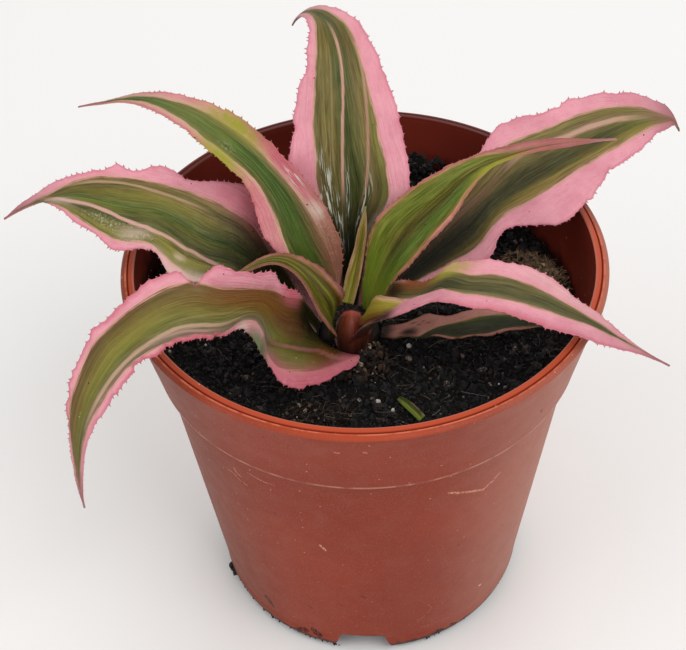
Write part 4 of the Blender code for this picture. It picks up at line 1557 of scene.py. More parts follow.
@dataclass(frozen=True)
class PotFinish:
    """Satin terracotta-coloured plastic, dusty, scuffed and scratched, with soil at the foot and painted
    light and shade.
    """

    body: str = "8e3620"
    shade: str = "86321e"
    # Painted light: the lit front of the lip bead.
    lip: str = "b84a2c"
    # Painted shade in the lip's groove.
    groove_shade: str = "7a2413"
    # Painted shade: the inside wall is darker than the outside.
    inner: str = "74291d"
    # Pale dusty colour, for real specks and also for the painted sheen and highlight on the outside.
    dust_and_sheen: str = "dba996"
    dirt: str = "130d0b"
    roughness: float = 0.5
    arc_radius: float = 50.0
    scuffs: tuple[Scuff, ...] = (
        Scuff(((18.8, 75.1), (23.3, 72.7), (29, 69.7), (31.6, 71.1), (33.8, 73.1)), 0.75, "c98a74"),
        Scuff(((-37, 74.2), (-35.2, 73.9), (-33.6, 72.4), (-31.5, 71.9)), 0.4, "b06a54"),
        Scuff(((-34.6, 76.8), (-34, 75.2), (-32.8, 74.6)), 0.4, "c08370"),
        Scuff(((-30, 78.5), (-26.5, 77.6), (-23, 77.9)), 0.35, "b87a66"),
        Scuff(((-25, 84.5), (-21.5, 83.4)), 0.35, "b87a66"),
        Scuff(((17, 21.5), (18.2, 19.4), (17.6, 17.2), (15.4, 14.9), (13.9, 13.2)), 0.35, "a9583f"),
        Scuff(((15.5, 9.6), (20.5, 9.5), (26, 8.8)), 0.3, "ab5c46"),
        Scuff(((-13.2, 55), (-12, 53)), 0.6, "d09480"),
        Scuff(((-6.5, 102.2), (-5.9, 102)), 0.8, "b87563"),
        Scuff(((-0.9, 102.6), (-0.5, 102.4)), 0.7, "b87563"),
        Scuff(((36.5, 17.2), (36.9, 16.8)), 0.9, "e8c0ae"),
        Scuff(((40.8, 93.5), (41.2, 93.1)), 0.9, "3a1d15"),
        Scuff(((24, 47.9), (24.4, 47.7)), 0.7, "4a241a"),
        Scuff(((-37.1, 12.6), (-35, 10.4)), 2.3, "35150e"),
        Scuff(((-25.5, 4.6), (-22.5, 5.6)), 1.9, "2a110c"),
        Scuff(((-20, 7.4), (-18, 5.2)), 2.4, "2a110c"),
        Scuff(((21.5, 4.4), (23.2, 3.6)), 2, "2a110c"),
        Scuff(((27.2, 4.2), (28.4, 3.4)), 1.6, "2a110c"),
        Scuff(((-10, 26), (-9.2, 25.4)), 0.8, "6b2a1d"),
        Scuff(((-3, 31), (-2, 30.2)), 0.8, "6b2a1d"),
        Scuff(((-20, 21), (-19, 20)), 0.7, "6b2a1d"),
    )

    def material(self, effects: SharedEffects, pot: "Pot") -> Material:
        """Make the pot's material.

        Args:
            effects: The shared shader groups.
            pot: The pot, for its sizes.

        Returns:
            The material.
        """
        material, net, shader = new_material("pot_plastic")
        place = net.object_place()
        x, y, z = net.split(net.vector_math("SUBTRACT", place, (POT_AXIS_X * MM, 0, 0)))
        arc = net.times(net.math("ARCTAN2", x, net.times(y, -1)), self.arc_radius)
        height = net.times(z, 1000)
        skin = net.join(arc, height)
        reach = net.times(net.vector_math("LENGTH", net.join(x, y)), 1000)
        cloud = net.noise(place, 26, 4)
        colour = net.mix(net.step(cloud, 0.35, 0.68), self.body, self.shade)
        flow = net.noise(net.join(net.times(arc, 0.05), net.times(height, 0.2)), 1, 3)
        colour = net.mix(net.step(flow, 0.45, 0.8, (0, 0.06)), colour, "97432d")
        # A faint dusty coating, plus a painted sheen that lightens the right side.
        dust_film_and_side_sheen = net.step(net.noise(skin, 0.12, 4, 0.6), 0.42, 0.75, (0, 0.03))
        sideways = net.math("DIVIDE", net.times(x, 1000), reach)
        dust_film_and_side_sheen = net.plus(dust_film_and_side_sheen, net.step(sideways, 0.25, 1, (0, 0.3)))
        colour = net.mix(dust_film_and_side_sheen, colour, self.dust_and_sheen)
        # Painted shade: the left side is darkened.
        colour = net.mix(net.step(sideways, -0.93, -0.46, (0.66, 0)), colour, "6e3a28")
        dusted = net.step(net.noise(place, 2400, 2, 0.7), 0.5, 0.7, (0, 0.1))
        colour = net.mix(dusted, colour, self.dust_and_sheen)
        # Painted highlight: a broken pale line along the collar's foot.
        ledge = net.math("ABSOLUTE", net.minus(height, pot.collar_foot_height + 1))
        collar_highlight = net.step(net.noise(skin, 0.25, 3), 0.38, 0.6, (0.04, 0.42))
        colour = net.mix(net.times(collar_highlight, net.step(ledge, 0.15, 0.45, (1, 0))), colour, self.dust_and_sheen)
        ring = net.minus(reach, pot.rim_radius - pot.lip_width)
        top = net.step(height, pot.height - 1.9, pot.height - 1.1)
        colour = self._lip(net, colour, (arc, sideways, ring, top, skin))
        # Painted shade: the inside wall is darkened, with soil splashed high on its left.
        inside = net.step(net.attribute("inside"), 0.3, 0.7)
        inner = net.mix(net.step(cloud, 0.4, 0.65, (0, 0.6)), self.inner, "57180f")
        heaped = net.step(net.math("ABSOLUTE", net.plus(arc, 83)), 6, 24, (11, 0))
        uneven = net.math("MULTIPLY_ADD", net.noise(skin, 0.3, 4), 9, height)
        splash = net.step(net.minus(uneven, heaped), 93.5, 98, (0.9, 0))
        colour = net.mix(inside, colour, net.mix(splash, inner, "1d0f0b"))
        for per_metre, share, size, tone in ((420.0, 0.3, 0.09, self.dust_and_sheen), (190.0, 0.04, 0.08, "4a2318")):
            dots = {"Place": place, "Per Metre": per_metre, "Share": share, "Size": size}
            upward = net.step(height, 15, 85, (0.3, 0.75))
            colour = net.mix(net.times(net.placed(effects.specks, dots)[0], upward), colour, tone)
        for scuff in self.scuffs:
            for start, end in zip(scuff.line, scuff.line[1:]):
                line = {"Place": skin, "From": (*start, 0.0), "To": (*end, 0.0), "Width": scuff.width}
                colour = net.mix(net.placed(effects.scratch, line)[0], colour, scuff.tone)
        uneven = net.math("MULTIPLY_ADD", net.noise(skin, 0.35, 4), 4.4, height)
        colour = net.mix(net.step(uneven, 4.6, 7.2, (0.94, 0)), colour, self.dirt)
        gloss = net.step(net.noise(skin, 0.2, 4), 0.3, 0.75, (self.roughness - 0.02, self.roughness + 0.06))
        grain = net.plus(net.noise(place, 1800, 2), net.times(net.noise(place, 110, 2), 0.7))
        plastic = {
            "Base Color": colour,
            "Roughness": net.minus(gloss, net.times(top, 0.14)),
            "Specular IOR Level": 0.14,
            "Normal": net.bump(grain, 0.2, 0.05),
        }
        net.feed_all(shader, plastic)
        return material

    def _lip(self, net: Wiring, colour: NodeSocket, places: Sequence[NodeSocket]) -> NodeSocket:
        """Colour with the lip's painted light and shade, over its beads and groove.

        Args:
            net: The material's wiring.
            colour: The colour so far.
            places: Arc from the front, share to the side, reach over the lip, the lip's mask and the skin.

        Returns:
            The colour with the lip on it.
        """
        arc, sideways, ring, top, skin = places
        # Painted shade over the back of the lip, with a pale painted highlight along its outer edge.
        behind = net.step(net.math("ABSOLUTE", arc), 78, 104)
        ahead = net.minus(1, behind)
        back_shade_and_highlight = net.mix(net.step(ring, 2.8, 3.2), "56190f", "9a5a4a")
        colour = net.mix(net.times(top, behind), colour, back_shade_and_highlight)
        # Painted light on the front of the lip, weaker on the left and on the outer slope at the front.
        lit_front = net.times(net.step(sideways, -0.95, -0.3, (0.6, 0.95)), ahead)
        less_lit = net.step(net.math("ABSOLUTE", arc), 4, 26, (0.35, 0.8))
        less_lit = net.times(less_lit, net.step(ring, 1.9, 2.7))
        lit_front = net.times(lit_front, net.minus(1, less_lit))
        colour = net.mix(net.times(top, lit_front), colour, self.lip)
        # Painted highlight along the crest, broken by noise.
        broken_highlight = net.step(net.noise(skin, 0.35, 4, 0.7), 0.4, 0.55, (0.1, 0.75))
        off_line = net.math("ABSOLUTE", net.minus(ring, 2.15))
        crest_highlight = net.times(net.times(broken_highlight, net.step(off_line, 0.12, 0.4, (1, 0))), ahead)
        colour = net.mix(net.times(top, crest_highlight), colour, "d0765a")
        # Painted shade in the groove.
        off_line = net.math("ABSOLUTE", net.minus(ring, 1.7))
        groove_shade = net.times(top, net.step(off_line, 0.08, 0.3, (0.9, 0)))
        colour = net.mix(groove_shade, colour, self.groove_shade)
        # Painted highlight along the inner edge.
        inner_edge_highlight = net.times(net.times(top, ahead), net.step(ring, 0.2, 0.7, (0.5, 0)))
        return net.mix(inner_edge_highlight, colour, "c98a78")


@dataclass
class Pot:
    """Moulded nursery pot: two-beaded lip, collar, shoulder, tapered wall, floor and notched foot ring."""

    rim_radius: float = 60.0
    height: float = 109.5
    lip_width: float = 3.4
    lip_height: float = 1.6
    collar_top_radius: float = 59.2
    collar_foot_radius: float = 54.3
    collar_foot_height: float = 84.7
    wall_top_radius: float = 52.4
    wall_top_height: float = 83.1
    base_radius: float = 42.1
    base_height: float = 6.4
    wall: float = 1.4
    foot_height: float = 9.2
    floor: float = 1.4
    notch_width: float = 12.2
    notch_height: float = 8.8
    notch_count: int = 4
    notch_turn: float = -4.0
    drain_radius: float = 4.5
    drain_circle: float = 27.0
    notch_inset: float = 1.5
    notch_depth: float = 9.0
    pin_length: float = 12.0
    sharp_angle: float = 32.0
    steps: int = 180

    def inner_profile(self) -> list[Pair]:
        """Section up the inside.

        Returns:
            Radius and height of each point, from the floor's middle.
        """
        lip, top = self.rim_radius - self.lip_width, self.height
        base, floor = self.base_radius - self.wall, self.foot_height + self.floor
        wall, shoulder = self.wall_top_radius - self.wall, self.wall_top_height
        collar, ledge = self.collar_foot_radius - self.wall, self.collar_foot_height
        return [
            (0.0, floor), (base - 2.0, floor), (base - 0.4, floor + 0.3), (base + 0.7, floor + 1.6),
            (wall, shoulder), (wall + 0.3, shoulder + 0.9),
            (collar - 0.1, ledge + 0.6), (collar + 0.2, ledge + 1.7),
            (lip - 0.1, top - 1.6), (lip, top - 0.6),
        ]

    def outer_profile(self) -> list[Pair]:
        """Section over the lip, down the outside and under the floor.

        Returns:
            Radius and height of each point.
        """
        inner, rim, top = self.rim_radius - self.lip_width, self.rim_radius, self.height
        lip = [
            (inner + 0.15, top - 0.2), (inner + 0.45, top), (inner + 0.95, top - 0.02),
            (inner + 1.4, top - 0.12), (inner + 1.55, top - 0.35), (inner + 1.7, top - 0.6),
            (inner + 1.85, top - 0.42), (inner + 2.05, top - 0.24), (inner + 2.4, top - 0.26),
            (inner + 2.8, top - 0.45),
            (rim - 0.2, top - 0.75), (rim, top - 1.0), (rim, top - 1.2), (rim - 0.2, top - 1.45),
            (rim - 0.55, top - self.lip_height), (self.collar_top_radius, top - self.lip_height - 0.5),
        ]
        collar, ledge = self.collar_foot_radius, self.collar_foot_height
        wall, shoulder = self.wall_top_radius, self.wall_top_height
        base, level = self.base_radius, self.base_height
        outside = [
            (collar + 0.25, ledge + 1.5), (collar + 0.1, ledge + 0.6), (collar - 0.3, ledge),
            (wall + 0.35, shoulder + 0.5), (wall + 0.1, shoulder), (wall - 0.1, shoulder - 1.0),
            (base + 0.25, level + 1.1), (base + 0.05, level), (base + 0.15, level - 0.7),
            (base - 0.05, level - 2.6), (base - 0.5, 2.3), (base - 1.3, 1.1), (base - 2.2, 0.35),
            (base - 3.1, 0.0),
        ]
        ring, floor = base - 4.4, self.foot_height
        foot = [(ring, 0.0), (ring - 0.3, 0.3), (ring - 0.3, floor - 0.4), (ring - 0.7, floor), (0.0, floor)]
        return lip + outside + foot

    @staticmethod
    def turned_tree() -> NodeTree:
        """Geometry tree that turns a section into a round solid and carries its inside mark along.

        Returns:
            The tree.
        """
        inputs = {"Section": Kind.SHAPE, "Points": Kind.WHOLE, "Steps": Kind.WHOLE, "Finish": Kind.MATERIAL}
        net, given, made = new_group("turned_solid", inputs, {"Solid": Kind.SHAPE}, "GeometryNodeTree")
        counts = {"Vertices X": net.plus(given["Steps"], 1), "Vertices Y": given["Points"]}
        grid = net.node("GeometryNodeMeshGrid", {"Size X": 1, "Size Y": 1, **counts})
        place = net.split(net.position())
        angle = net.times(net.plus(place[0], 0.5), 2 * math.pi)
        last = net.minus(given["Points"], 1)
        row = net.math("ROUND", net.times(net.plus(place[1], 0.5), last))
        sampled = []
        for value, kind in ((net.position(), "FLOAT_VECTOR"), (net.named("inside"), "FLOAT")):
            source = {"Geometry": given["Section"], "Value": value, "Index": row}
            sample = net.node("GeometryNodeSampleIndex", source, data_type=kind, domain="POINT")
            sampled.append(sample.outputs[0])
        marked = net.store(grid.outputs["Mesh"], "inside", sampled[1])
        turn = {"Vector": sampled[0], "Angle": angle}
        turned = net.node("ShaderNodeVectorRotate", turn, rotation_type="Z_AXIS")
        shaped = net.node("GeometryNodeSetPosition", {"Geometry": marked, "Position": turned.outputs[0]})
        closed = net.node("GeometryNodeMergeByDistance", {"Geometry": shaped.outputs[0], "Distance": 0.00001})
        net.finish(closed.outputs[0], given["Finish"], made[0])
        return net.tree

    def build(self, effects: SharedEffects) -> None:
        """Build the pot and cut its notches and drain holes.

        Args:
            effects: The shared shader groups.
        """
        section = bpy.data.meshes.new("pot_section")
        inner, outer = self.inner_profile(), self.outer_profile()
        points = inner + outer
        section.from_pydata([(radius * MM, 0.0, level * MM) for radius, level in points], [], [])
        put_attribute(section, "inside", np.array([1.0] * len(inner) + [0.0] * len(outer)))
        finish = PotFinish().material(effects, self)
        values = {"Points": len(points), "Steps": self.steps, "Finish": finish}
        pot = run_geometry("pot_moulding", section, self.turned_tree(), values)
        pot.data.transform(POT_SHIFT)
        make_outward(pot.data)
        cutters = self._cutters()
        step = pot.modifiers.new("cuts", "BOOLEAN")
        step.operation = "DIFFERENCE"
        step.solver = "EXACT"
        step.object = cutters
        cut = plain_copy(pot)
        pot.modifiers.clear()
        pot.data = cut
        bpy.data.objects.remove(cutters, do_unlink=True)
        dress(cut, finish)
        cut.shade_smooth()
        cut.set_sharp_from_angle(angle=math.radians(self.sharp_angle))
        take_in(pot, "nursery_pot", "nursery_pot")

    def _cutters(self) -> Object:
        """Rounded blocks for the notches and pins for the drain holes.

        Returns:
            The helper object.
        """
        shape = bmesh.new()
        for index in range(self.notch_count):
            angle = math.radians(self.notch_turn) + 2 * math.pi * index / self.notch_count
            block = self._notch()
            outward = Vector((math.sin(angle), -math.cos(angle), 0.0))
            spot = Matrix.Translation(outward * (self.base_radius - self.notch_inset))
            block.transform(spot @ Matrix.Rotation(angle, 4, "Z"))
            add_shape(shape, block)
            around = angle + math.pi / self.notch_count
            pin = self._pin(math.cos(around) * self.drain_circle, math.sin(around) * self.drain_circle)
            add_shape(shape, pin)
        add_shape(shape, self._pin(0.0, 0.0))
        mesh = new_mesh("pot_cutters", shape)
        mesh.transform(POT_SHIFT @ Matrix.Scale(MM, 4))
        return new_object("pot_cutters", mesh)

    def _notch(self) -> BMesh:
        """Block with round upper corners and a flared mouth that cuts one notch.

        Returns:
            The block, in mm.
        """
        half, top = self.notch_width / 2, self.notch_height
        side = [
            (half + 4.6, -3.0), (half + 4.6, 0.1), (half + 3.4, 0.5), (half + 2.5, 1.2), (half + 1.8, 2.2),
            (half + 1.2, 3.4), (half + 0.3, top - 2.2), (half, top - 1.2), (half - 0.4, top - 0.5),
            (half - 1.1, top - 0.1), (half - 1.9, top),
        ]
        outline = side + [(-x, z) for x, z in reversed(side)]
        block = bmesh.new()
        face = block.faces.new([block.verts.new((x, -self.notch_depth / 2, z)) for x, z in outline])
        pushed = bmesh.ops.extrude_face_region(block, geom=[face])["geom"]
        moved = [item for item in pushed if isinstance(item, BMVert)]
        bmesh.ops.translate(block, verts=moved, vec=(0.0, self.notch_depth, 0.0))
        bmesh.ops.recalc_face_normals(block, faces=block.faces)
        return block

    def _pin(self, x: float, y: float) -> BMesh:
        """Round pin that cuts one drain hole.

        Args:
            x: Place to the right of the pot's axis.
            y: Place behind it.

        Returns:
            The pin, in mm.
        """
        pin = bmesh.new()
        sizes = {"radius1": self.drain_radius, "radius2": self.drain_radius, "depth": self.pin_length}
        bmesh.ops.create_cone(pin, cap_ends=True, segments=32, **sizes)
        pin.transform(Matrix.Translation((x, y, self.foot_height)))
        return pin


# Potting mix and crown


@dataclass(frozen=True)
class EarthFinish:
    """Crumbly matter whose tone changes from crumb to crumb."""

    name: str
    tones: tuple[tuple[float, str], ...]
    roughness: float = 0.9
    specular: float = 0.3
    per_crumb: bool = True

    def material(self) -> Material:
        """Make the material.

        Returns:
            The material.
        """
        material, net, shader = new_material(self.name)
        place = net.object_place()
        patch = net.step(net.noise(place, 900, 4, 0.7), 0.3, 0.72)
        if self.per_crumb:
            patch = net.math("MULTIPLY_ADD", net.attribute("tone"), 0.8, net.times(patch, 0.3))
        rough = (self.roughness - 0.25, self.roughness)
        earth = {
            "Base Color": net.ramp(patch, self.tones),
            "Roughness": net.step(net.noise(place, 650, 2), 0.35, 0.65, rough),
            "Specular IOR Level": self.specular,
            "Normal": net.bump(net.noise(place, 2300, 4, 0.7), 1, 0.35),
        }
        net.feed_all(shader, earth)
        return material


# The rare pale crumbs at the top of this row are partly lighter peat and partly painted glints.
PEAT_TONES = ((0, "040303"), (45, "090706"), (72, "120d0b"), (86, "2c231e"), (95, "574a41"), (100, "8d7f73"))
HEAP_TONES = ((0, "120b08"), (30, "2a1b13"), (58, "4b3627"), (78, "8f7458"), (100, "e2d0b4"))


class ScatterTree:
    """Geometry tree that sets one of several shapes on every point that is spread over a ground."""

    def __init__(self, name: str, own: dict[str, Kind]) -> None:
        """Start the tree with the inputs that every such tree has and its own.

        Args:
            name: The tree's name.
            own: Names and types of its own inputs.
        """
        inputs = {
            "Ground": Kind.SHAPE,
            "Per Square Metre": Kind.NUMBER,
            "Smallest": Kind.NUMBER,
            "Largest": Kind.NUMBER,
            "Seed": Kind.WHOLE,
            "Finish": Kind.MATERIAL,
            **own,
        }
        self.net, self.given, self.made = new_group(name, inputs, {"Pieces": Kind.SHAPE}, "GeometryNodeTree")
        self.kinds = self.net.node("GeometryNodeGeometryToInstance")

    def add(self, shape: NodeSocket) -> None:
        """Add a shape to pick from."""
        self.net.feed(self.kinds.inputs[0], shape)

    def close(self, turn: NodeSocket, scale: NodeSocket, seed: int, power: float) -> NodeTree:
        """Set the shapes on the points, give each a tone and end the tree.

        Args:
            turn: Rotation of each shape.
            scale: Size of each shape.
            seed: Seed of the tones.
            power: Power that makes the light tones rare.

        Returns:
            The finished tree.
        """
        net, given = self.net, self.given
        area = {"Mesh": given["Ground"], "Density": given["Per Square Metre"], "Seed": given["Seed"]}
        spread = net.node("GeometryNodeDistributePointsOnFaces", area)
        inputs = {
            "Points": spread.outputs["Points"],
            "Instance": self.kinds.outputs[0],
            "Pick Instance": True,
            "Rotation": turn,
            "Scale": scale,
        }
        pieces = net.node("GeometryNodeInstanceOnPoints", inputs).outputs[0]
        tone = net.math("POWER", net.random(0, 1, seed), power)
        net.finish(net.store(pieces, "tone", tone, "INSTANCE"), given["Finish"], self.made[0])
        return net.tree


def crumb_tree() -> NodeTree:
    """Tree that scatters uneven crumbs.

    Returns:
        The tree.
    """
    tree = ScatterTree("scattered_crumbs", {"Flatness": Kind.NUMBER, "Fineness": Kind.WHOLE})
    net, given = tree.net, tree.given
    for shift in (3.0, 11.0, 23.0, 41.0, 57.0):
        ball = net.node("GeometryNodeMeshIcoSphere", {"Radius": 0.5, "Subdivisions": given["Fineness"]})
        moved = net.vector_math("ADD", net.position(), (shift, shift * 0.7, 0))
        lumps = net.node("ShaderNodeTexNoise", {"Vector": moved, "Scale": 2.4, "Detail": 2})
        push = net.vector_math("SUBTRACT", lumps.outputs["Color"], (0.5, 0.5, 0.5))
        offset = net.vector_math("MULTIPLY", push, (1.3, 1.3, 1.1))
        rough = net.node("GeometryNodeSetPosition", {"Geometry": ball.outputs["Mesh"], "Offset": offset})
        tree.add(rough.outputs[0])
    share = net.math("POWER", net.random(0, 1, 5), 2.2)
    span = net.minus(given["Largest"], given["Smallest"])
    size = net.math("MULTIPLY_ADD", share, span, given["Smallest"])
    turn = net.random((0, 0, 0), (6.3, 6.3, 6.3), given["Seed"], vector=True)
    return tree.close(turn, net.join(size, size, net.times(size, given["Flatness"])), 9, 1.5)


def fibre_tree() -> NodeTree:
    """Tree that lays short, nearly straight fibres.

    Returns:
        The tree.
    """
    tree = ScatterTree("scattered_fibres", {"Thickness": Kind.NUMBER, "Tilt": Kind.NUMBER})
    net, given = tree.net, tree.given
    for bend, lift in ((0.14, 0.05), (-0.07, 0.12), (0.03, 0.04), (-0.18, 0.06)):
        ends = {"Start": (-0.5, 0.0, 0.0), "End": (0.5, 0.0, 0.02)}
        course = {"Resolution": 4, "Middle": (0.0, bend, lift), **ends}
        line = net.node("GeometryNodeCurveQuadraticBezier", course)
        ring = net.node("GeometryNodeCurvePrimitiveCircle", {"Resolution": 3, "Radius": given["Thickness"]})
        tube = {"Curve": line.outputs[0], "Profile Curve": ring.outputs[0], "Fill Caps": True}
        tree.add(net.node("GeometryNodeCurveToMesh", tube).outputs[0])
    reach = net.join(given["Tilt"], given["Tilt"], 6.3)
    back = net.vector_math("MULTIPLY", reach, (-1, -1, 0))
    turn = net.random(back, reach, given["Seed"], vector=True)
    return tree.close(turn, net.random(given["Smallest"], given["Largest"], 3), 8, 1.4)


@dataclass(frozen=True)
class Lump:
    """Oval heap on the mix: middle from the pot's axis, half lengths, turn and height, in mm and degrees."""

    name: str
    middle: Pair
    reach: Pair
    turn: float
    height: float

    def rise(self, x: float, y: float) -> float:
        """Height of the heap over a place from the pot's axis.

        Args:
            x: Place to the right of the pot's axis.
            y: Place behind it.

        Returns:
            The heap's height there.
        """
        angle = math.radians(self.turn)
        away_x, away_y = x - self.middle[0], y - self.middle[1]
        along = (away_x * math.cos(angle) + away_y * math.sin(angle)) / self.reach[0]
        across = (-away_x * math.sin(angle) + away_y * math.cos(angle)) / self.reach[1]
        wobble = 1.0 + 0.18 * math.sin(0.9 * x + 1.3 * y) + 0.12 * math.sin(2.1 * x - 1.7 * y)
        return self.height * wobble * max(0.0, 1.0 - along**2 - across**2) ** 0.7


@dataclass(frozen=True)
class Scatter:
    """One run of crumbs or fibres: sizes and lift in mm, density per square metre, and its own inputs."""

    name: str
    smallest: float
    largest: float
    density: float
    seed: int
    lift: float = 0.0
    own: dict[str, float] = field(default_factory=lambda: {"Flatness": 0.8, "Fineness": 1})

    def build(self, ground: Mesh, tree: NodeTree, finish: Material, slot: str = "potting_mix") -> None:
        """Scatter the run over a ground and tie it to the frame.

        Args:
            ground: The mesh to scatter on.
            tree: The geometry tree.
            finish: The pieces' material.
            slot: The record's material slot.
        """
        values = {
            "Smallest": self.smallest * MM,
            "Largest": self.largest * MM,
            "Per Square Metre": self.density,
            "Seed": self.seed,
            "Finish": finish,
            **self.own,
        }
        take_in(run_geometry(self.name, ground, tree, values), slot)


@dataclass
class PottingMix:
    """The mix's top dressing: crumbs, fibres and grit, over the CAD block."""

    top_above: float = 86.8
    edge_reach: float = 52.6
    lump_reach: float = 52.0
    plain_level: float = 88.5
    least_rise: float = 0.15
    least_slope: float = 0.4
    longest_edges: Pair = (4.0, 2.0)
    bits_seed: int = 71
    first_soil_seed: int = 61
    mound: Lump = Lump("peat_mound", (-4, -16.5), (10.5, 7), 0, 4.2)
    tan_lump: Lump = Lump("coir_lump", (44.5, 12.5), (11, 5.2), -52, 3.4)
    far_lump: Lump = Lump("rim_lump", (33, 30), (9, 6), -45, 2)
    front_lump: Lump = Lump("fibre_patch", (-11.5, -35), (9, 4.5), 0, 1.2)
    back_lump: Lump = Lump("back_heap", (17, 50), (12, 7), -18, 10.5)
    left_lump: Lump = Lump("left_heap", (-50, 11), (6, 12), 12, 8)
    bits: tuple[Triple, ...] = (
        (2.5, -31.7, 1.3), (6.0, -33.8, 0.9), (-49.0, -13.1, 0.8),
        (-40.2, -10.6, 0.7), (10.7, -12.0, 1.3), (32.0, -26.1, 0.5),
    )

    def __post_init__(self) -> None:
        """Keep the CAD block that the dressing lies on, and the heaps that have a body."""
        self.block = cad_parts["potting_mix"]
        self.heaps = (self.mound, self.tan_lump, self.far_lump, self.back_lump, self.left_lump)

    def heaped(self, x: float, y: float) -> float:
        """Height of every heap together over a place from the pot's axis."""
        return sum(lump.rise(x, y) for lump in self.heaps)

    def level(self, x: float, y: float) -> float:
        """Height of the mix, in mm, at a place from the pot's axis."""
        hit, place, _, _ = self.block.ray_cast(((x + POT_AXIS_X) * MM, y * MM, 0.2), (0.0, 0.0, -1.0))
        return place.z / MM if hit else self.plain_level

    def ground(self, name: str, lift: float, heap: Optional[Lump]) -> Mesh:
        """Copy of the mix's top surface, raised where a heap lies on it.

        Args:
            name: The mesh's name.
            lift: Height to raise the whole copy by.
            heap: The one heap to keep, or None for the whole surface with every heap.

        Returns:
            The mesh.
        """
        rise = heap.rise if heap else self.heaped
        mesh = self.block.data.copy()
        mesh.name = name
        mesh.materials.clear()
        shape = bmesh.new()
        shape.from_mesh(mesh)
        bmesh.ops.remove_doubles(shape, verts=shape.verts, dist=0.00001)
        drop = []
        for face in shape.faces:
            if face.normal.z < self.least_slope or face.calc_center_median().z < self.top_above * MM:
                drop.append(face)
        bmesh.ops.delete(shape, geom=drop, context="FACES")
        for longest in self.longest_edges:
            long_edges = [edge for edge in shape.edges if edge.calc_length() > longest * MM]
            bmesh.ops.subdivide_edges(shape, edges=long_edges, cuts=1)
        drop = []
        for face in shape.faces:
            middle = face.calc_center_median() / MM
            x, y = middle.x - POT_AXIS_X, middle.y
            if math.hypot(x, y) > self.edge_reach or (heap and rise(x, y) <= self.least_rise):
                drop.append(face)
        bmesh.ops.delete(shape, geom=drop, context="FACES")
        for vertex in shape.verts:
            x, y = vertex.co.x / MM - POT_AXIS_X, vertex.co.y / MM
            vertex.co.z += (lift + rise(x, y)) * MM
        shape.to_mesh(mesh)
        shape.free()
        return mesh

    def heap_body(self, lump: Lump, finish: Material) -> None:
        """Build the closed body under a heap's crumbs.

        Args:
            lump: The heap.
            finish: Its material.
        """
        shape = bmesh.new()
        bmesh.ops.create_icosphere(shape, subdivisions=4, radius=1.0)
        angle = math.radians(lump.turn)
        for vertex in shape.verts:
            along, across, up = vertex.co.x * lump.reach[0], vertex.co.y * lump.reach[1], vertex.co.z
            x = lump.middle[0] + along * math.cos(angle) - across * math.sin(angle)
            y = lump.middle[1] + along * math.sin(angle) + across * math.cos(angle)
            inside = min(1.0, self.lump_reach / math.hypot(x, y))
            x, y = x * inside, y * inside
            rough = 0.25 * math.sin(1.7 * x + 2.3 * y) * math.sin(2.9 * x - 1.1 * y)
            z = self.level(x, y) + (lump.rise(x, y) * up - 0.25 + rough if up > 0 else 1.2 * up - 0.4)
            vertex.co = Vector((x + POT_AXIS_X, y, z)) * MM
        mesh = new_mesh(lump.name, shape)
        mesh.materials.append(finish)
        mesh.shade_smooth()
        take_in(new_object(lump.name, mesh), "potting_mix")

    def scatter(self, run: Scatter, tree: NodeTree, finish: Material, heap: Optional[Lump] = None) -> None:
        """Scatter a run over the whole mix, or over one heap alone."""
        run.build(self.ground(run.name + "_ground", run.lift, heap), tree, finish)

    def build(self) -> None:
        """Dress the block and scatter what lies on it."""
        block = EarthFinish("peat_block", PEAT_TONES[:3], 0.95, 0.2, per_crumb=False).material()
        dress(self.block.data, block)
        crumbs, fibres = crumb_tree(), fibre_tree()
        peat = EarthFinish("peat_crumbs", PEAT_TONES, 0.8, 0.5).material()
        heap = EarthFinish("heap_crumbs", HEAP_TONES, 0.85, 0.3).material()
        grit = EarthFinish("white_grit", ((0, "8d857a"), (100, "dcd6cb")), 0.8).material()
        straw = EarthFinish("peat_fibres", ((0, "0c0908"), (55, "2a231f"), (100, "8a7d72")), 0.7).material()
        duff = EarthFinish("duff_fibres", ((0, "120c09"), (60, "33261e"), (100, "7d6b5b")), 0.85).material()
        coir = EarthFinish("coir_fibres", ((0, "6b5139"), (50, "8d6f53"), (100, "bfa383")), 0.9).material()
        for lump in self.heaps:
            self.heap_body(lump, coir if lump is self.tan_lump else block)
        flat = {"Flatness": 0.75, "Fineness": 2}
        shapes = ((0.03, 0.45), (0.011, 0.25), (0.025, 0.5), (0.03, 0.4))
        coarse, thin, tuft, fringe = ({"Thickness": thickness, "Tilt": tilt} for thickness, tilt in shapes)
        self.scatter(Scatter("peat_crumbs_small", 0.4, 1.5, 9.6e5, 11, 0.1), crumbs, peat)
        self.scatter(Scatter("peat_crumbs_large", 1.1, 2.9, 1.0e5, 17, 0, flat), crumbs, peat)
        self.scatter(Scatter("white_grit", 0.15, 0.5, 3.5e3, 29, 0.6), crumbs, grit)
        self.scatter(Scatter("peat_heap", 0.5, 2.1, 9.0e5, 23, 0.3), crumbs, heap, self.mound)
        self.scatter(Scatter("tan_crumbs", 0.4, 1.6, 9.0e5, 43, 0.2), crumbs, coir, self.tan_lump)
        self.scatter(Scatter("peat_fibres", 0.8, 2.6, 3.2e5, 31, 0.6, coarse), fibres, straw)
        self.scatter(Scatter("long_fibres", 3.5, 7.5, 1.6e4, 33, 1, thin), fibres, straw)
        self.scatter(Scatter("coir_tuft", 1.5, 4.2, 2.6e6, 37, 0.3, tuft), fibres, coir, self.tan_lump)
        self.scatter(Scatter("front_fibres", 1, 3, 1.6e6, 39, 0.7, fringe), fibres, duff, self.front_lump)
        self.scatter(Scatter("front_chips", 0.4, 1.5, 3.0e5, 47, 0.4), crumbs, heap, self.front_lump)
        self._bits(grit)
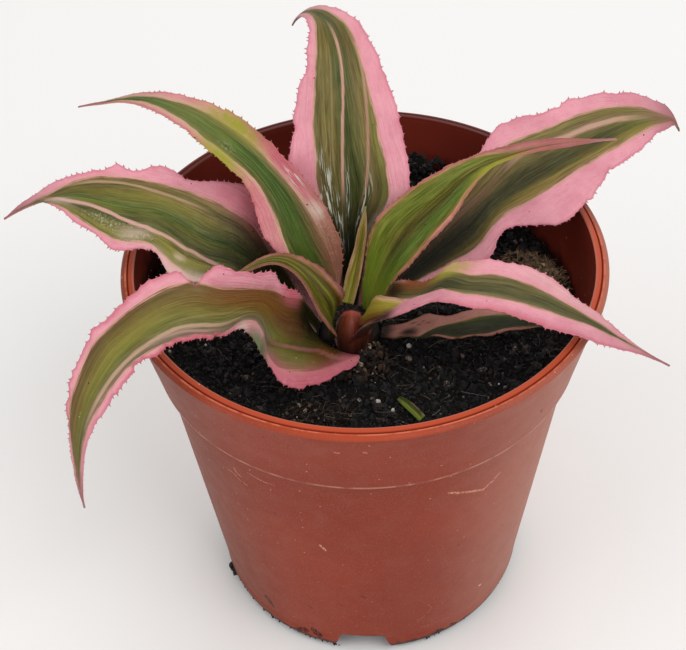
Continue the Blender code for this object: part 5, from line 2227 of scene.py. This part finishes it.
        self._stuck_soil(crumbs, peat)

    def _bits(self, finish: Material) -> None:
        """Set the few larger white bits one by one.

        Args:
            finish: Their material.
        """
        shape = bmesh.new()
        draw = np.random.default_rng(self.bits_seed)
        for x, y, size in self.bits:
            bit = bmesh.new()
            bmesh.ops.create_icosphere(bit, subdivisions=2, radius=size / 2)
            for vertex in bit.verts:
                vertex.co *= draw.uniform(0.75, 1.15)
            bit.transform(Matrix.Translation((x + POT_AXIS_X, y, self.level(x, y) + 1.0)))
            add_shape(shape, bit)
        mesh = new_mesh("white_bits", shape)
        mesh.transform(Matrix.Scale(MM, 4))
        put_attribute(mesh, "tone", np.full(len(mesh.vertices), 0.9))
        mesh.materials.append(finish)
        take_in(new_object("white_bits", mesh), "potting_mix")

    def _stuck_soil(self, tree: NodeTree, finish: Material) -> None:
        """Stick crumbs to the pot's foot, inside its rim and round the crown's sheath.

        Args:
            tree: The tree that scatters crumbs.
            finish: Their material.
        """
        foot = Pot().base_radius
        runs = (
            ("foot_soil_left", -72, -12, foot - 0.9, 1.6, 0.8, 0.4, 1.3, 7.0e5),
            ("foot_soil_right", 12, 74, foot - 0.9, 1.6, 0.7, 0.35, 1.1, 5.0e5),
            ("foot_clump", -73, -67, foot + 0.1, 2.6, 1.6, 0.9, 2.3, 2.2e6),
            ("rim_soil", 72, 84, 57.0, 108.6, 0.8, 0.3, 0.8, 6.0e5),
            ("wall_soil", 100, 260, 55.2, 92.5, 3.0, 0.3, 1.0, 2.2e5),
            ("wall_soil_front", 20, 100, 55.2, 92.0, 2.0, 0.3, 1.0, 2.2e5),
        )
        for index, (name, start, end, reach, height, width, smallest, largest, density) in enumerate(runs):
            line = []
            for turn in np.radians(np.linspace(start, end, 40)):
                line.append((POT_AXIS_X + reach * math.sin(turn), -reach * math.cos(turn), height))
            run = Scatter(name, smallest, largest, density, self.first_soil_seed + index)
            run.build(ribbon(name + "_ground", line, width), tree, finish, "nursery_pot")
        radii, heights = zip(*CROWN.profile)
        line = []
        for share in np.linspace(0.05, 1.0, 100):
            reach, turn = 5.6 * share, 10 * math.pi * share
            level = float(np.interp(reach, radii, heights)) + 0.2
            x = POT_AXIS_X + CROWN.x + reach * math.cos(turn)
            line.append((x, CROWN.y + reach * math.sin(turn), level))
        ground = ribbon("crown_ground", line, 0.8)
        Scatter("crown_soil", 0.5, 1.5, 1.3e6, 89).build(ground, tree, finish, "crown")
        blade = Blade(SHEATH_FORM, SHEATH_LOOK)
        along = np.linspace(0.45, 1.0, 24)
        rim = blade.sheet(along, np.array([-1.0, 0.0, 1.0]))["points"]
        line = [*rim[:, 2], *rim[::-1, 0][:10]]
        ground = ribbon("sheath_ground", line, 0.6)
        Scatter("sheath_soil", 0.4, 1.2, 2.6e6, 83).build(ground, tree, finish, "crown")


def ribbon(name: str, line: Sequence[Sequence[float]], width: float) -> Mesh:
    """Upright strip along a line, to scatter crumbs on.

    Args:
        name: The mesh's name.
        line: Places along its middle.
        width: Its height.

    Returns:
        The mesh.
    """
    places = []
    for x, y, z in line:
        places.append((x * MM, y * MM, (z - width / 2) * MM))
        places.append((x * MM, y * MM, (z + width / 2) * MM))
    faces = [(2 * i, 2 * i + 2, 2 * i + 3, 2 * i + 1) for i in range(len(line) - 1)]
    mesh = bpy.data.meshes.new(name)
    mesh.from_pydata(places, [], faces)
    return mesh


def dress_crown() -> None:
    """Give the crown its fibrous, reddish skin, near black as painted shade and darker towards the bottom."""
    material, net, shader = new_material("crown_skin")
    place = net.object_place()
    cloud = net.step(net.noise(place, 260, 4), 0.35, 0.65)
    # Darker towards the bottom.
    lower_down = net.step(net.split(place)[2], 0.0905, 0.0935, (1, 0))
    skin = {
        "Base Color": net.mix(lower_down, net.mix(cloud, "1c120d", "2e1c14"), "140c09"),
        "Roughness": 0.7,
        "Normal": net.bump(net.noise(place, 1200, 3), 0.5, 0.3),
    }
    net.feed_all(shader, skin)
    dress(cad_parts["crown"].data, material)


# Studio


@dataclass(frozen=True)
class Studio:
    """Pale floor, soft lights and the camera."""

    camera_place: Triple = (2.7, -293.1, 373.7)
    camera_aim: Triple = (-3.13, 0.0, 85.62)
    camera_roll: float = -2.23
    lens: float = 83.97
    floor_reach: float = 1.6
    world_strength: float = 0.62
    lamps: tuple[tuple[str, Triple, float, float], ...] = (
        ("window", (0.35, -0.4, 0.8), 0.5, 3.0),
        ("fill", (-0.7, -0.35, 0.6), 0.7, 2.0),
        ("back", (0.1, 0.7, 0.6), 0.6, 1.5),
    )

    def build(self) -> None:
        """Set up the floor, the lights, the world and the camera."""
        self._floor()
        self._lights()
        self._camera()
        bpy.context.scene.view_settings.view_transform = "Standard"

    def _floor(self) -> None:
        """Plain pale floor."""
        shape = bmesh.new()
        bmesh.ops.create_grid(shape, x_segments=1, y_segments=1, size=self.floor_reach)
        mesh = new_mesh("pale_floor", shape)
        material, _, shader = new_material("pale_floor")
        shader.inputs["Base Color"].default_value = srgb("f4f3f1")
        shader.inputs["Roughness"].default_value = 0.9
        mesh.materials.append(material)
        new_object("pale_floor", mesh)

    def _lights(self) -> None:
        """Large soft lights over a pale world."""
        world = bpy.data.worlds.new("soft_room")
        world.use_nodes = True
        background = world.node_tree.nodes["Background"]
        background.inputs[0].default_value = srgb("ffffff")
        background.inputs[1].default_value = self.world_strength
        bpy.context.scene.world = world
        for name, place, size, power in self.lamps:
            light = bpy.data.lights.new(name, "AREA")
            light.energy = power
            light.size = size
            lamp = bpy.data.objects.new(name, light)
            bpy.context.scene.collection.objects.link(lamp)
            lamp.location = place
            aim = Vector((0.0, 0.0, 0.09)) - Vector(place)
            lamp.rotation_euler = aim.to_track_quat("-Z", "Y").to_euler()

    def _camera(self) -> None:
        """Camera at the photograph's angle."""
        lens = bpy.data.cameras.new("camera")
        lens.lens = self.lens
        lens.sensor_width = 36.0
        lens.sensor_fit = "HORIZONTAL"
        lens.clip_start = 0.01
        camera = bpy.data.objects.new("camera", lens)
        bpy.context.scene.collection.objects.link(camera)
        place = Vector(self.camera_place) * MM
        aim = Vector(self.camera_aim) * MM - place
        turn = aim.to_track_quat("-Z", "Y") @ Quaternion((0.0, 0.0, 1.0), math.radians(self.camera_roll))
        camera.location = place
        camera.rotation_euler = turn.to_euler()
        bpy.context.scene.camera = camera


def main() -> None:
    """Build every piece in order."""
    logging.basicConfig(level=logging.INFO, format="%(message)s", stream=sys.stdout)
    Studio().build()
    effects = SharedEffects()
    Pot().build(effects)
    PottingMix().build()
    dress_crown()
    Rosette(effects).build()


if __name__ == "__main__":
    main()
